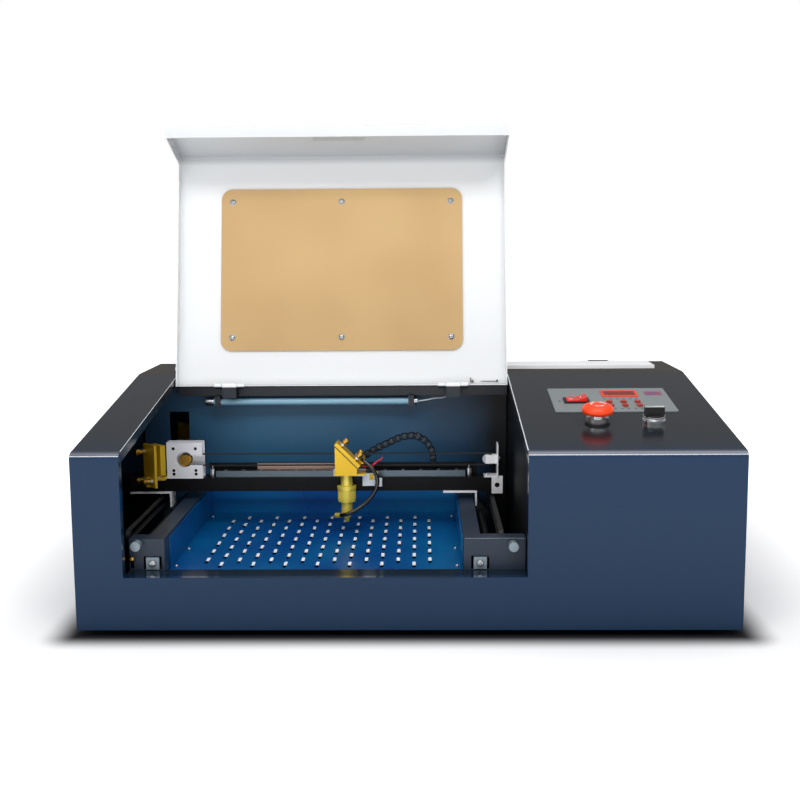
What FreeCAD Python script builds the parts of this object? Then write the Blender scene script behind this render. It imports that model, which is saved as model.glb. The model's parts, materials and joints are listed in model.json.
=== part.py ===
"""Desktop laser cutter with its lid open. Millimetres; +X right, +Y to the back, +Z up.

Positions are written in machine terms: x from the middle, y from the front face, z from the case's
underside. The part's origin is the middle of the footprint, on the surface that the feet stand on.
"""
import FreeCAD, Part
import math
import os
import re
import Sketcher

V = FreeCAD.Vector
SIZES = {
    # case
    "case_w": 800, "case_d": 500, "front_h": 216, "deck_h": 270, "slope_d": 355, "sheet": 1.5,
    "foot_h": 8, "foot_rad": 14, "foot_inset": 42, "bend": 9, "fan_out": 38, "gap": 0.3,
    # front and top opening
    "open_l": 341.5, "open_rt": 143, "open_d": 347, "sill_h": 65, "sill_d": 36, "lip": 12,
    "back_wall_y": 365, "tube_y": 427,
    # bed
    "bed_z": 60, "bed_t": 3, "bed_l": 298, "bed_rt": 68, "slot_w": 4.4, "slot_len": 27, "bed_pitch": 40.6,
    "bed_wall": 40, "chan_w": 21, "chan_h": 104,
    # lid, measured from its hinge pin
    "pin_y": 325, "pin_z": 255, "lid_side": 1.5, "lid_len": 330, "lid_deep": 16, "flange": 85,
    "lid_tilt": 12, "pin_rad": 1.5, "knuckle_rad": 4, "knuckle_w": 20, "run_fit": 0.05,
    "win_w": 355, "win_h": 240, "win_z": 53, "win_t": 3, "win_lap": 26,
    # tube hatch
    "hatch_l": 355, "hatch_rt": 367, "hatch_y": 396, "hatch_d": 61, "hatch_t": 5,
    # gantry
    "beam_y": 250, "beam_d": 26, "beam_t": 19, "beam_l": 392, "beam_rt": 125, "mirror_x": -362,
    "rail_w": 12, "rail_t": 9, "rail_l": 272, "rail_rt": 78, "belt_y": 253, "belt_w": 6,
    "belt_t": 1.4, "pulley_rad": 7, "motor_x": 315, "motor_s": 42, "motor_len": 34,
    "idler_x": 105, "rod_l": 335, "rod_rt": 99, "rod_z": 84, "rod_rad": 5, "bearing_rad": 10,
    "y_belt_l": 349, "y_belt_rt": 115, "y_belt_z": 101, "y_pulley_rad": 5, "y_shaft_y": 340,
    "y_idler_y": 66, "y_shaft_rad": 3,
    # head
    "head_x": 87, "nozzle_y": 236, "lens_rad": 8.2, "head_l": 102, "head_w": 30, "air_y": 235,
    # controls, along the slope
    "label_x": 192, "label_s": 158, "label_w": 160, "label_len": 109, "label_t": 1.2,
    "stop_x": 239.5, "stop_s": 113.3, "dial_x": 311.4, "dial_s": 117.4, "rocker_x": 225,
    "rocker_s": 206.4, "rocker_pin": 1, "button_rad": 4, "button_s1": 183.1, "button_s2": 199.3,
    "button_x": 268, "button_gap": 18.8,
    # back
    "fan_x": -80, "fan_z": 85, "spigot_rad": 50, "fan_box": 112, "fan_box_d": 18,
    "water_x": 230, "water_gap": 40, "water_z": 120, "socket_x": 320, "socket_z": 46,
    # worked out from the sizes above: heights that follow the bed's channels and the beam
    "beam_z": "=chan_h + 12", "beam_top": "=beam_z + beam_t", "head_z": "=beam_top + 8",
    "laser_z": "=beam_top + 25", "air_z": "=head_z - 58.5",
}

doc = FreeCAD.newDocument("laser_cutter")
sheet = doc.addObject("Spreadsheet::Sheet", "Sizes")
for row, (alias, size) in enumerate(SIZES.items(), start=1):
    sheet.set(f"A{row}", alias)
    sheet.set(f"B{row}", str(size))
    sheet.setAlias(f"B{row}", alias)
doc.recompute()

WORD = re.compile(r"[a-z_][a-z0-9_]*")
Y_MID = "((case_d + fan_out)/2)"
SLOPE = "((deck_h - front_h)/slope_d)"
SLOPE_DEG = "atan((deck_h - front_h)/slope_d)"
NODES = {}


def bound(text):
    """An expression in which each size is read from the sheet."""
    return WORD.sub(lambda m: "Sizes." + m.group() if m.group() in SIZES else m.group(), str(text))


def bind(obj, **props):
    for prop, text in props.items():
        obj.setExpression(prop, bound(text))
    return obj


def place(obj, x, y, z, world=True):
    """Put an object at a machine position, or with world=False at a position in its own frame."""
    bind(obj, **{
        "Placement.Base.x": x,
        "Placement.Base.y": f"({y}) - {Y_MID}" if world else y,
        "Placement.Base.z": f"({z}) + foot_h" if world else z,
    })
    return obj


def box(x, y, z, dx, dy, dz, world=True):
    """A block from its lowest corner."""
    obj = doc.addObject("Part::Box", "block")
    bind(obj, Length=dx, Width=dy, Height=dz)
    return place(obj, x, y, z, world)


TURNS = {
    "x": FreeCAD.Rotation(V(0, 1, 0), 90),
    "y": FreeCAD.Rotation(V(1, 0, 0), -90),
    "z": FreeCAD.Rotation(),
}


def rod(axis, x, y, z, radius, length, world=True, top=None):
    """A round bar that starts at a point and runs along an axis; top makes it a cone."""
    if top is None:
        obj = doc.addObject("Part::Cylinder", "bar")
        bind(obj, Radius=radius, Height=length)
    else:
        obj = doc.addObject("Part::Cone", "cone")
        bind(obj, Radius1=radius, Radius2=top, Height=length)
    obj.Placement.Rotation = TURNS[axis]
    return place(obj, x, y, z, world)


def slab(plane, points, thick, x=0, y=0, z=0, world=True, rounds=()):
    """A plate from a sketched outline, padded both ways; rounds are (points, radius) pairs."""
    body = doc.addObject("PartDesign::Body", "plate")
    sketch = body.newObject("Sketcher::SketchObject", "outline")
    role = [o for o in body.Origin.OriginFeatures if o.Role == plane][0]
    sketch.AttachmentSupport = [(role, "")]
    sketch.MapMode = "FlatFace"
    count = len(points)
    corners = []
    for number in range(count):
        turn = 2 * math.pi * number / count
        corners.append(V(50 * math.cos(turn), 50 * math.sin(turn), 0))
    for number in range(count):
        sketch.addGeometry(Part.LineSegment(corners[number], corners[(number + 1) % count]), False)
    for number in range(count):
        sketch.addConstraint(Sketcher.Constraint("Coincident", number, 2, (number + 1) % count, 1))
    for number, (across, up) in enumerate(points):
        for kind, text in (("DistanceX", across), ("DistanceY", up)):
            made = sketch.addConstraint(Sketcher.Constraint(kind, -1, 1, number, 1, 1.0))
            name = f"{kind}{number}"
            sketch.renameConstraint(made, name)
            sketch.setExpression(f"Constraints.{name}", bound(text))
    pad = body.newObject("PartDesign::Pad", "pad")
    pad.Profile = sketch
    pad.Midplane = True
    bind(pad, Length=thick)
    doc.recompute()
    base = pad
    for which, radius in rounds:
        ends = [sketch.Placement.multVec(sketch.Geometry[n].StartPoint) for n in which]
        normal = sketch.Placement.Rotation.multVec(V(0, 0, 1))
        names = []
        for index, edge in enumerate(base.Shape.Edges, start=1):
            if len(edge.Vertexes) != 2 or not isinstance(edge.Curve, Part.Line):
                continue
            if abs(abs(edge.Curve.Direction.dot(normal)) - 1) > 1e-6:
                continue
            middle = (edge.Vertexes[0].Point + edge.Vertexes[1].Point) / 2
            if any((middle - end).cross(normal).Length < 1e-4 for end in ends):
                names.append(f"Edge{index}")
        round_off = body.newObject("PartDesign::Fillet", "round")
        round_off.Base = (base, names)
        bind(round_off, Radius=radius)
        doc.recompute()
        base = round_off
    return place(body, x, y, z, world)


def fuse(*shapes):
    obj = doc.addObject("Part::MultiFuse", "joined")
    obj.Shapes = list(shapes)
    return obj


def cut(base, *tools):
    obj = doc.addObject("Part::Cut", "cut")
    obj.Base = base
    obj.Tool = tools[0] if len(tools) == 1 else group(*tools)
    return obj


def group(*shapes):
    obj = doc.addObject("Part::Compound", "group")
    obj.Links = list(shapes)
    return obj


def keep(name, obj):
    """Name an object as a finished sub-part."""
    obj.Label = name
    NODES[name] = obj
    return obj


def tilt(obj, axis_turn, x, y, z):
    """Turn a finished piece about +X by an angle, in degrees, and put it at a machine position."""
    obj.Placement.Rotation = FreeCAD.Rotation(V(1, 0, 0), 1)
    bind(obj, **{"Placement.Rotation.Angle": axis_turn})
    return place(obj, x, y, z)


def on_slope(obj):
    """A piece whose own y runs up the control slope from the front bend, and z out of it."""
    return tilt(obj, SLOPE_DEG, 0, 0, "front_h")


# --- case -----------------------------------------------------------------------------------------
WATER = ("water_x", "water_x + water_gap")


def slope_z(y):
    return f"(front_h + ({y})*{SLOPE})"


def make_case():
    skin = slab("YZ_Plane", [
        ("0", "0"), ("0", "front_h"), ("slope_d", "deck_h"), ("case_d", "deck_h"),
        ("case_d", "deck_h - sheet"), ("slope_d", "deck_h - sheet"),
        ("sheet", "front_h - sheet"), ("sheet", "0"),
    ], "case_w", rounds=[((1,), "bend"), ((6,), "bend - sheet")])
    notch = box("-open_l", -5, "sill_h", "open_l + open_rt", "open_d + 5", "deck_h")
    hatch_hole = box("-hatch_l + 10", "hatch_y + 8", "deck_h - 10", "hatch_l + hatch_rt - 20",
                     "hatch_d - 16", 20)
    stop_hole = rod("z", "stop_x", f"stop_s*cos({SLOPE_DEG})", "front_h - 20", 11.4, 80)
    dial_hole = rod("z", "dial_x", f"dial_s*cos({SLOPE_DEG})", "front_h - 20", 11.4, 80)
    label_hole = box("button_x - 12", f"(button_s1 - 8)*cos({SLOPE_DEG})", "front_h", 60, 84, 60)
    rocker_hole = box("rocker_x - 15", f"(rocker_s - 11)*cos({SLOPE_DEG})", "front_h", 30, 22, 60)
    lips = []
    for x in ("-open_l - sheet/2", "open_rt + sheet/2"):
        lips.append(slab("YZ_Plane", [
            ("sheet/2", "sill_h - sheet/2"), ("sheet/2", "front_h - sheet/2"),
            ("open_d", slope_z("open_d") + " - sheet/2"), ("open_d", slope_z("open_d") + " - lip"),
            ("lip + sheet", "front_h - lip"), ("lip + sheet", "sill_h - sheet/2"),
        ], "sheet", x=x, rounds=[((1,), "bend - sheet/2")]))
    sill = box("-open_l", "0", "sill_h - sheet", "open_l + open_rt", "sill_d", "sheet")
    hinge = []
    for x in ("-hatch_l + 60", "hatch_rt - 90"):
        hinge.append(rod("x", x, "hatch_y + hatch_d + 4", "deck_h + 3.5", 3, 30))
        hinge.append(box(x, "hatch_y + hatch_d + 2", "deck_h - 0.5", 30, 4, 3))
        hinge.append(rod("x", f"{x} - 12", "hatch_y + hatch_d + 4", "deck_h + 3.5", "pin_rad", 54))
    openings = [notch, hatch_hole, stop_hole, dial_hole, label_hole, rocker_hole]
    keep("case_shell", fuse(cut(skin, *openings), *lips, sill, *hinge))

    outline = [
        ("sheet", "0"), ("sheet", "front_h - sheet"), ("slope_d", "deck_h - sheet"),
        ("case_d - sheet", "deck_h - sheet"), ("case_d - sheet", "0"),
    ]
    rounded = [((1,), "bend - sheet")]
    keep("side_panel_left", slab("YZ_Plane", outline, "sheet", x="-case_w/2 + sheet/2", rounds=rounded))
    vents = []
    for number in range(8):
        vents.append(box("case_w/2 - 5", f"150 + 16*{number}", 60, 10, 5, 60))
    keep("side_panel_right", cut(slab("YZ_Plane", outline, "sheet", x="case_w/2 - sheet/2",
                                      rounds=rounded), *vents))
    back_holes = [rod("y", "fan_x", "case_d - 5", "fan_z", "spigot_rad - 3", 10)]
    back_holes.append(box("socket_x - 15", "case_d - 5", "socket_z - 12", 30, 10, 24))
    for x in WATER:
        back_holes.append(rod("y", x, "case_d - 5", "water_z", 4.5, 10))
    keep("back_panel", cut(box("-case_w/2", "case_d - sheet", 0, "case_w", "sheet", "deck_h - sheet"),
                           *back_holes))
    keep("base_pan", cut(
        box("-case_w/2 + sheet", "sheet", 0, "case_w - 2*sheet", "case_d - 2*sheet", 12),
        box("-case_w/2 + 2*sheet", "2*sheet", "sheet", "case_w - 4*sheet", "case_d - 4*sheet", 20)))
    feet = []
    for x in ("-case_w/2 + foot_inset", "case_w/2 - foot_inset"):
        for y in ("foot_inset", "case_d - foot_inset"):
            feet.append(rod("z", x, y, "-foot_h", "foot_rad - 2", "foot_h", top="foot_rad"))
    keep("feet", group(*feet))

    wall = box("-case_w/2 + 2*sheet", "back_wall_y", "sheet", "case_w/2 + open_rt - 2*sheet", "sheet",
               "deck_h - 2*sheet")
    beam_window = box("mirror_x + 3", "back_wall_y - 5", "laser_z - 20", 29, 10, 72)
    exhaust_slot = box(-200, "back_wall_y - 5", 104, 240, 10, 22)
    keep("chamber_back_wall", cut(wall, beam_window, exhaust_slot))
    keep("bay_wall", slab("YZ_Plane", [
        ("2*sheet", "sheet"), ("2*sheet", "front_h - 2*sheet"), ("slope_d", "deck_h - sheet"),
        ("back_wall_y + sheet", "deck_h - sheet"), ("back_wall_y + sheet", "sheet"),
    ], "sheet", x="open_rt + 1.5*sheet", rounds=[((1,), "bend - sheet")]))


def shaft_notch(x, length):
    """The room that the drive shaft needs where it crosses a wall."""
    return rod("x", x, "y_shaft_y", "y_belt_z", "y_shaft_rad + 3", length)


def make_bed():
    plate = box("-bed_l + gap", "sill_d + 2", "bed_z - bed_t", "bed_l + bed_rt - 2*gap",
                "back_wall_y - sill_d - 2 - gap", "bed_t")
    slots = []
    straight = "(slot_len - slot_w)"
    for column in range(15):
        rows = 6 if column % 2 == 0 else 7
        first = 94 if column % 2 == 0 else 74
        for number in range(rows):
            x = f"-257 + bed_pitch*{column}/2"
            near = f"{first} + bed_pitch*{number} - {straight}/2"
            slots.append(fuse(
                box(f"{x} - slot_w/2", near, "bed_z - 10", "slot_w", straight, 20),
                rod("z", x, near, "bed_z - 10", "slot_w/2", 20),
                rod("z", x, f"{near} + {straight}", "bed_z - 10", "slot_w/2", 20)))
    low = "bed_z - 0.1"
    high = "bed_wall + 0.1"
    wall_y = "back_wall_y - sill_d - 24 - gap"
    left = box("-bed_l + gap", "sill_d + 24", low, "sheet", wall_y, high)
    right = box("bed_rt - gap - sheet", "sill_d + 24", low, "sheet", wall_y, high)
    back = box("-bed_l + gap", "back_wall_y - gap - sheet", low, "bed_l + bed_rt - 2*gap", "sheet", high)
    tray = fuse(cut(plate, *slots), left, right, back)
    keep("bed_plate", cut(tray, shaft_notch("-bed_l - 5", "bed_l + bed_rt + 10")))

    for name, inner, outer, window in (
        ("channel_left", "-bed_l - chan_w", "-open_l", "-324"),
        ("channel_right", "bed_rt", "bed_rt", "77"),
    ):
        width = "open_l - bed_l" if name == "channel_left" else "open_rt - bed_rt"
        solid = fuse(
            box(inner, "sill_d", "sheet", "chan_w", "back_wall_y - sill_d", "chan_h - sheet"),
            box(outer, "sill_d - 2", "sill_h", width, 2, "chan_h - sill_h"),
            box(outer, "sill_d - 1", "chan_h - sheet", width, 22, "sheet"))
        hollow = box(f"{inner} + sheet", "sill_d", 0, "chan_w - 2*sheet", "back_wall_y", "chan_h - sheet")
        tools = [hollow, box(window, "sill_d - 5", "sill_h + 0.8", 22, 5.5, 16.5),
                 shaft_notch(f"{inner} - 5", "chan_w + 10")]
        if name == "channel_left":
            tools.append(box("-340", "sill_d - 5", "sill_h + 2", 4, 10, 14))
        keep(name, cut(solid, *tools))
    catches = []
    for x, z in ((-331, 97.5), (128, 96)):
        catches.append(rod("y", x, "sill_d - 14", z, 6, 12))
    for x in (-321, 80):
        catches.append(box(x, "sill_d - 3", "sill_h + 1", 16, 3, 15))
        catches.append(rod("y", f"{x} + 8", "sill_d - 5", "sill_h + 8.5", 4.5, 3))
    catches.append(rod("y", -338, "sill_d - 6", "sill_h + 15", 3, 4))
    keep("door_catches", group(*catches[:2], fuse(*catches[2:4]), fuse(*catches[4:6]), catches[6]))


# --- lid: its own z runs from the pin to the front edge, and its own y out through the plate -------
KNUCKLES = ("-open_l + 70", "open_rt - 70 - knuckle_w")
MID_X = "((open_rt - open_l)/2)"


def lid_outline(skin, lap):
    """The lid's section: skin is how far it lies inside the outer face, lap how far it stops short."""
    out = f"(lid_deep - {skin})"
    bend = f"tan((90 deg - {SLOPE_DEG})/2)"
    side, rise = f"cos({SLOPE_DEG})", f"sin({SLOPE_DEG})"
    reach = f"(flange - {lap})"
    open_side = "0" if skin == "0" else "5"
    return [
        (f"-{open_side}", lap), (out, lap), (out, f"lid_len + {out}*{bend}"),
        (f"-{reach}*{side} + {out}*{rise}", f"lid_len + {reach}*{rise} + {out}*{side}"),
        (f"-{reach}*{side} - {open_side}*{rise}", f"lid_len + {reach}*{rise} - {open_side}*{side}"),
        (f"-{open_side}", f"lid_len - {open_side}*{bend}"),
    ]


def make_lid():
    width = "open_l + open_rt - 2*lid_side"
    outer = slab("YZ_Plane", lid_outline("0", "0"), width, world=False,
                 rounds=[((2,), 5)])
    inner = slab("YZ_Plane", lid_outline("sheet", "sheet"), f"{width} - 2*sheet", world=False,
                 rounds=[((2,), 3.5)])
    window = box("-win_w/2 + win_lap", 0, "win_z + win_lap", "win_w - 2*win_lap", "lid_deep + 5",
                 "win_h - 2*win_lap", world=False)
    room, leaves = [], []
    for x in KNUCKLES:
        x = f"{x} - {MID_X}"
        room.append(box(f"{x} - 1", -5, -5, "knuckle_w + 2", 11, 11, world=False))
        for start in (f"{x} - 11.3", f"{x} + knuckle_w + 1.3"):
            leaves.append(cut(
                fuse(rod("x", start, 0, 0, "knuckle_rad", 10, world=False),
                     box(start, 0, -1, 10, 6, 2.5, world=False)),
                rod("x", f"{start} - 1", 0, 0, "pin_rad + run_fit", 12, world=False)))
            room.append(rod("x", f"{start} - 1", 0, 0, "pin_rad + 0.5", 12, world=False))
    lid = fuse(cut(outer, inner, window, *room), *leaves)
    keep("lid_shell", tilt(lid, "-lid_tilt", MID_X, "pin_y", "pin_z"))

    glass = slab("XZ_Plane", [
        ("-win_w/2", "win_z"), ("win_w/2", "win_z"), ("win_w/2", "win_z + win_h"),
        ("-win_w/2", "win_z + win_h"),
    ], "win_t", y="lid_deep - sheet - win_t/2", world=False, rounds=[((0, 1, 2, 3), 16)])
    keep("lid_window", tilt(group(glass), "-lid_tilt", MID_X, "pin_y", "pin_z"))

    grip = fuse(rod("x", -45, 0, 12, 4, 90, world=False), rod("z", -40, 0, 0, 4, 12, world=False),
                rod("z", 40, 0, 0, 4, 12, world=False))
    grip = group(grip)
    grip.Placement.Rotation = FreeCAD.Rotation(V(1, 0, 0), -1)
    bind(grip, **{"Placement.Rotation.Angle": f"-{SLOPE_DEG}"})
    place(grip, 0, f"-40*cos({SLOPE_DEG}) + lid_deep*sin({SLOPE_DEG})",
          f"lid_len + 40*sin({SLOPE_DEG}) + lid_deep*cos({SLOPE_DEG})", world=False)
    keep("lid_handle", tilt(group(grip), "-lid_tilt", MID_X, "pin_y", "pin_z"))

    rail = fuse(box("-open_l + 0.5", "open_d - 1", "pin_z - 17", "open_l + open_rt - 1",
                    "back_wall_y - open_d + 1", 3.5),
                box("-open_l + 0.5", "open_d - 1", "pin_z - 17", "open_l + open_rt - 1", "sheet", 14))
    arms = []
    for x in KNUCKLES:
        arms.append(box(x, "pin_y - 4", "pin_z - 17", "knuckle_w", "open_d - pin_y + 4", 3.5))
        arms.append(box(x, "pin_y - 4", "pin_z - 17", "knuckle_w", 8, 17))
        arms.append(rod("x", x, "pin_y", "pin_z", "knuckle_rad", "knuckle_w"))
        arms.append(rod("x", f"{x} - 12", "pin_y", "pin_z", "pin_rad", "knuckle_w + 24"))
    clips = []
    for x in (-286, -2):
        clips.append(cut(box(x, "open_d - 7", "pin_z - 33", 8, 14, 16.5),
                         rod("x", f"{x} - 1", "open_d", "pin_z - 26", 5, 10)))
    keep("lid_hinge_rail", fuse(rail, *arms, *clips))
    keep("lamp_tube", rod("x", -300, "open_d", "pin_z - 26", 5, 312))


def make_hatch():
    width = "hatch_l + hatch_rt"
    low = "deck_h + gap"
    pan = cut(box("-hatch_l", "hatch_y", low, width, "hatch_d", "hatch_t"),
              box("-hatch_l + sheet", "hatch_y + sheet", "deck_h - 1", f"{width} - 2*sheet",
                  "hatch_d - 2*sheet", "hatch_t + gap + 1 - sheet"))
    parts = []
    for x in ("-hatch_l + 60", "hatch_rt - 90"):
        for start in (f"{x} - 11", f"{x} + 31"):
            ear = fuse(rod("x", start, "hatch_y + hatch_d + 4", "deck_h + 3.5", 2.9, 10),
                       box(start, "hatch_y + hatch_d - 1", "deck_h + 2.3", 10, 5, 2.4))
            parts.append(cut(ear, rod("x", f"{start} - 1", "hatch_y + hatch_d + 4", "deck_h + 3.5",
                                      "pin_rad + run_fit", 12)))
    grip = box(-35, "hatch_y + 4", "deck_h + hatch_t + gap - 0.1", 70, 6, 2)
    keep("rear_hatch", fuse(pan, grip, *parts))


# --- motion ---------------------------------------------------------------------------------------
def belt_loop(axis, at, centre, ends, radius, width):
    """A flat closed belt round two pulleys; at is its start across, ends are along its run."""
    outer, inner = f"({radius} + gap + belt_t)", f"({radius} + gap)"
    span = f"({ends[1]}) - ({ends[0]})"
    loops = []
    for size in (outer, inner):
        if axis == "x":
            run = box(ends[0], at, f"{centre} - {size}", span, width, f"2*{size}")
            rounds = [rod("y", end, at, centre, size, width) for end in ends]
        else:
            run = box(at, ends[0], f"{centre} - {size}", width, span, f"2*{size}")
            rounds = [rod("x", at, end, centre, size, width) for end in ends]
        loops.append(fuse(run, *rounds))
    return cut(*loops)


def make_y_drive():
    span = "back_wall_y - sill_d"
    keep("y_rods", group(*[rod("y", x, "sill_d", "rod_z", "rod_rad", span)
                           for x in ("-rod_l", "rod_rt")]))
    belts = []
    for x in ("-y_belt_l", "y_belt_rt"):
        belts.append(belt_loop("y", f"{x} - belt_w/2", "y_belt_z", ("y_idler_y", "y_shaft_y"),
                               "y_pulley_rad", "belt_w"))
    keep("y_belts", group(*belts))
    pulleys = [rod("x", f"{x} - belt_w/2", "y_shaft_y", "y_belt_z", "y_pulley_rad", "belt_w")
               for x in ("-y_belt_l", "y_belt_rt")]
    shaft = rod("x", "-y_belt_l - 12", "y_shaft_y", "y_belt_z", "y_shaft_rad",
                "y_belt_l + y_belt_rt + 18")
    keep("y_shaft", fuse(shaft, *pulleys))
    motor = box("-case_w/2 + 2*sheet", "y_shaft_y - motor_s/2", "y_belt_z - motor_s/2", "motor_len",
                "motor_s", "motor_s")
    bore = rod("x", "-y_belt_l - 20", "y_shaft_y", "y_belt_z", "y_shaft_rad + run_fit", 30)
    keep("y_motor", cut(motor, bore))
    keep("y_idlers", group(*[rod("x", f"{x} - belt_w/2", "y_idler_y", "y_belt_z", "y_pulley_rad",
                                 "belt_w") for x in ("-y_belt_l", "y_belt_rt")]))


def make_gantry():
    top = "beam_top"
    beam = cut(box("-beam_l", "beam_y", "beam_z", "beam_l + beam_rt", "beam_d", "beam_t"),
               box("-beam_l - 1", "beam_y + 2", "beam_z + 2", "beam_l + beam_rt + 2", "beam_d - 4",
                   "beam_t - 4"))
    web = box("-motor_x + 30", "beam_y + beam_d - 3", f"{top} - 0.1", "motor_x + beam_rt - 60", 3, 17)
    keep("gantry_beam", fuse(beam, web))
    rail_y = "beam_y + 5 - 1"
    stops = []
    for x in ("-rail_l - 9", "rail_rt + 2"):
        stops.append(rod("z", f"{x} + 3.5", f"{rail_y} + 6", top, 3.5, 13))
    keep("x_rail", group(box("-rail_l", rail_y, top, "rail_l + rail_rt", "rail_w", "rail_t"), *stops))

    plate = cut(
        box("-motor_x - 24", "beam_y - 4", top, 50, 2, 51),
        rod("y", "-motor_x + 1", "beam_y - 8", "laser_z + 2", 11, 10),
        box("-motor_x + 1", "beam_y - 8", "laser_z - 6", 40, 10, 14),
        *[rod("y", f"-motor_x + 1 + {dx}", "beam_y - 8", f"laser_z + 2 + {dz}", 1.8, 10)
          for dx in (-15.5, 15.5) for dz in (-15.5, 15.5, -20.5)])
    rear = cut(box("-motor_x - 24", "beam_y + 14", top, 50, 2, 51),
               rod("y", "-motor_x", "beam_y + 10", "laser_z", 9, 10))
    foot = box("-motor_x - 24", "beam_y - 4", top, 50, 20, 2)
    side = box("-motor_x - 24", "beam_y - 4", top, 2, 20, 51)
    idler_plate = box(122, "beam_y - 4", top, "sheet", 22, 47)
    clevis = cut(box(106, "beam_y + 1", "laser_z - 6", 16.5, 10, 12),
                 box(100, "belt_y - 1", "laser_z - 10", 18.5, 8, 20))
    pin = rod("y", "idler_x + 4", "beam_y + 1", "laser_z", 1.5, 10)
    idler_foot = box(104, "beam_y - 2", top, 19, 20, 2)
    tab = cut(box(114.5, "beam_y - 2", "beam_z - 4", 15.5, "sheet", 25),
              rod("y", 122.3, "beam_y - 5", "beam_z + 8", 3.5, 10))
    keep("gantry_plates", group(fuse(plate, rear, foot, side),
                                fuse(idler_plate, idler_foot, tab), fuse(clevis, pin)))
    body = box("-motor_x - motor_s/2", "beam_y + 16.3", "laser_z - motor_s/2", "motor_s", "motor_len",
               "motor_s")
    keep("x_motor", body)
    keep("x_belt", belt_loop("x", "belt_y", "laser_z", ("-motor_x", "idler_x + 4"), "pulley_rad",
                             "belt_w"))
    pulley = fuse(rod("y", "-motor_x", "belt_y", "laser_z", "pulley_rad", "belt_w"),
                  rod("y", "-motor_x", "belt_y - 1.8", "laser_z", 8, 1.5),
                  rod("y", "-motor_x", "belt_y + belt_w + 0.3", "laser_z", 8, 1.5))
    keep("x_pulley", fuse(pulley, rod("y", "-motor_x", "belt_y + belt_w", "laser_z", 2.5, 7)))
    keep("x_idler", cut(rod("y", "idler_x + 4", "belt_y", "laser_z", "pulley_rad", "belt_w"),
                        rod("y", "idler_x + 4", "belt_y - 1", "laser_z", "1.5 + run_fit", 8)))
    bearings = []
    for x, plate_x, plate_w, leg in (("-rod_l", "-beam_l", 58.5, "-rod_l - 1.2"),
                                     ("rod_rt", 47, 45, "rod_rt - 7.4")):
        shell = cut(rod("y", x, "beam_y - 10", "rod_z", "bearing_rad", 36),
                    rod("y", x, "beam_y - 11", "rod_z", "rod_rad + run_fit", 38))
        ledge = box(plate_x, "beam_y - 4", "beam_z - 2.4", plate_w, 28, 2.4)
        strut = box(leg, "beam_y - 4", "rod_z + rod_rad + 1", 2.4, 28,
                    "beam_z - rod_z - rod_rad - 1")
        bearings.append(fuse(shell, ledge, strut))
    keep("gantry_bearings", group(*bearings))


def make_side_mirror():
    """The mirror at the beam's left end, turned 45 degrees so that it faces right and back."""
    turn = FreeCAD.Rotation(V(0, 0, 1), -45)
    parts = [box(-14, 0, 0, 28, 4, 60, world=False), box(-12, 11, 16, 24, 8, 42, world=False)]
    for x, z in ((-9, 10), (9, 10), (-9, 50)):
        parts.append(rod("y", x, -14, z, 2, 14, world=False))
        parts.append(rod("y", x, -16, z, 4, 6, world=False))
        parts.append(rod("y", x, 3.9, f"{z} + 3", 2, 7.2, world=False))
    mirror = fuse(*parts)
    mirror.Placement.Rotation = turn
    place(mirror, "mirror_x", "beam_y - 13", "beam_top - 10")
    shelf = fuse(box("mirror_x - 4", "beam_y - 16", "beam_top", 26.5, 30, 4),
                 box("mirror_x - 4", "beam_y - 16", "beam_top - 9.5", 5, 5, 10))
    keep("side_mirror", fuse(mirror, shelf))


def hose(points, radius):
    """A tube of straight runs joined by tangent arcs; each arc takes 0.45 of its shorter run."""
    edges, radii, start = [], [], points[0]
    for before, here, after in zip(points, points[1:], points[2:]):
        back, ahead = (before - here), (after - here)
        reach = 0.45 * min(back.Length, ahead.Length)
        first = here + back.normalize() * reach
        last = here + ahead.normalize() * reach
        half = (math.pi - back.getAngle(ahead)) / 2
        radii.append(reach / math.tan(half))
        bulge = (first + last) / 2 - here
        to_arc = radii[-1] / math.cos(half) - radii[-1]
        middle = here + bulge.normalize() * to_arc
        edges.append(Part.makeLine(start, first))
        edges.append(Part.Arc(first, middle, last).toShape())
        start = last
    edges.append(Part.makeLine(start, points[-1]))
    path = Part.Wire(edges)
    ring = Part.Wire(Part.makeCircle(radius, points[0], points[1] - points[0]))
    tube = path.makePipeShell([ring], True, True)
    length = sum(edge.Length for edge in edges)
    print("hose length", round(length, 1), "volume ratio",
          round(tube.Volume / (math.pi * radius ** 2 * length), 4),
          "radii", [round(r, 1) for r in radii])
    return tube


def feature(name, shape, x, y, z):
    """A free shape made in its own frame and then put at a machine position."""
    obj = doc.addObject("Part::Feature", name)
    obj.Shape = shape
    place(obj, x, y, z)
    return keep(name, obj)


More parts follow.
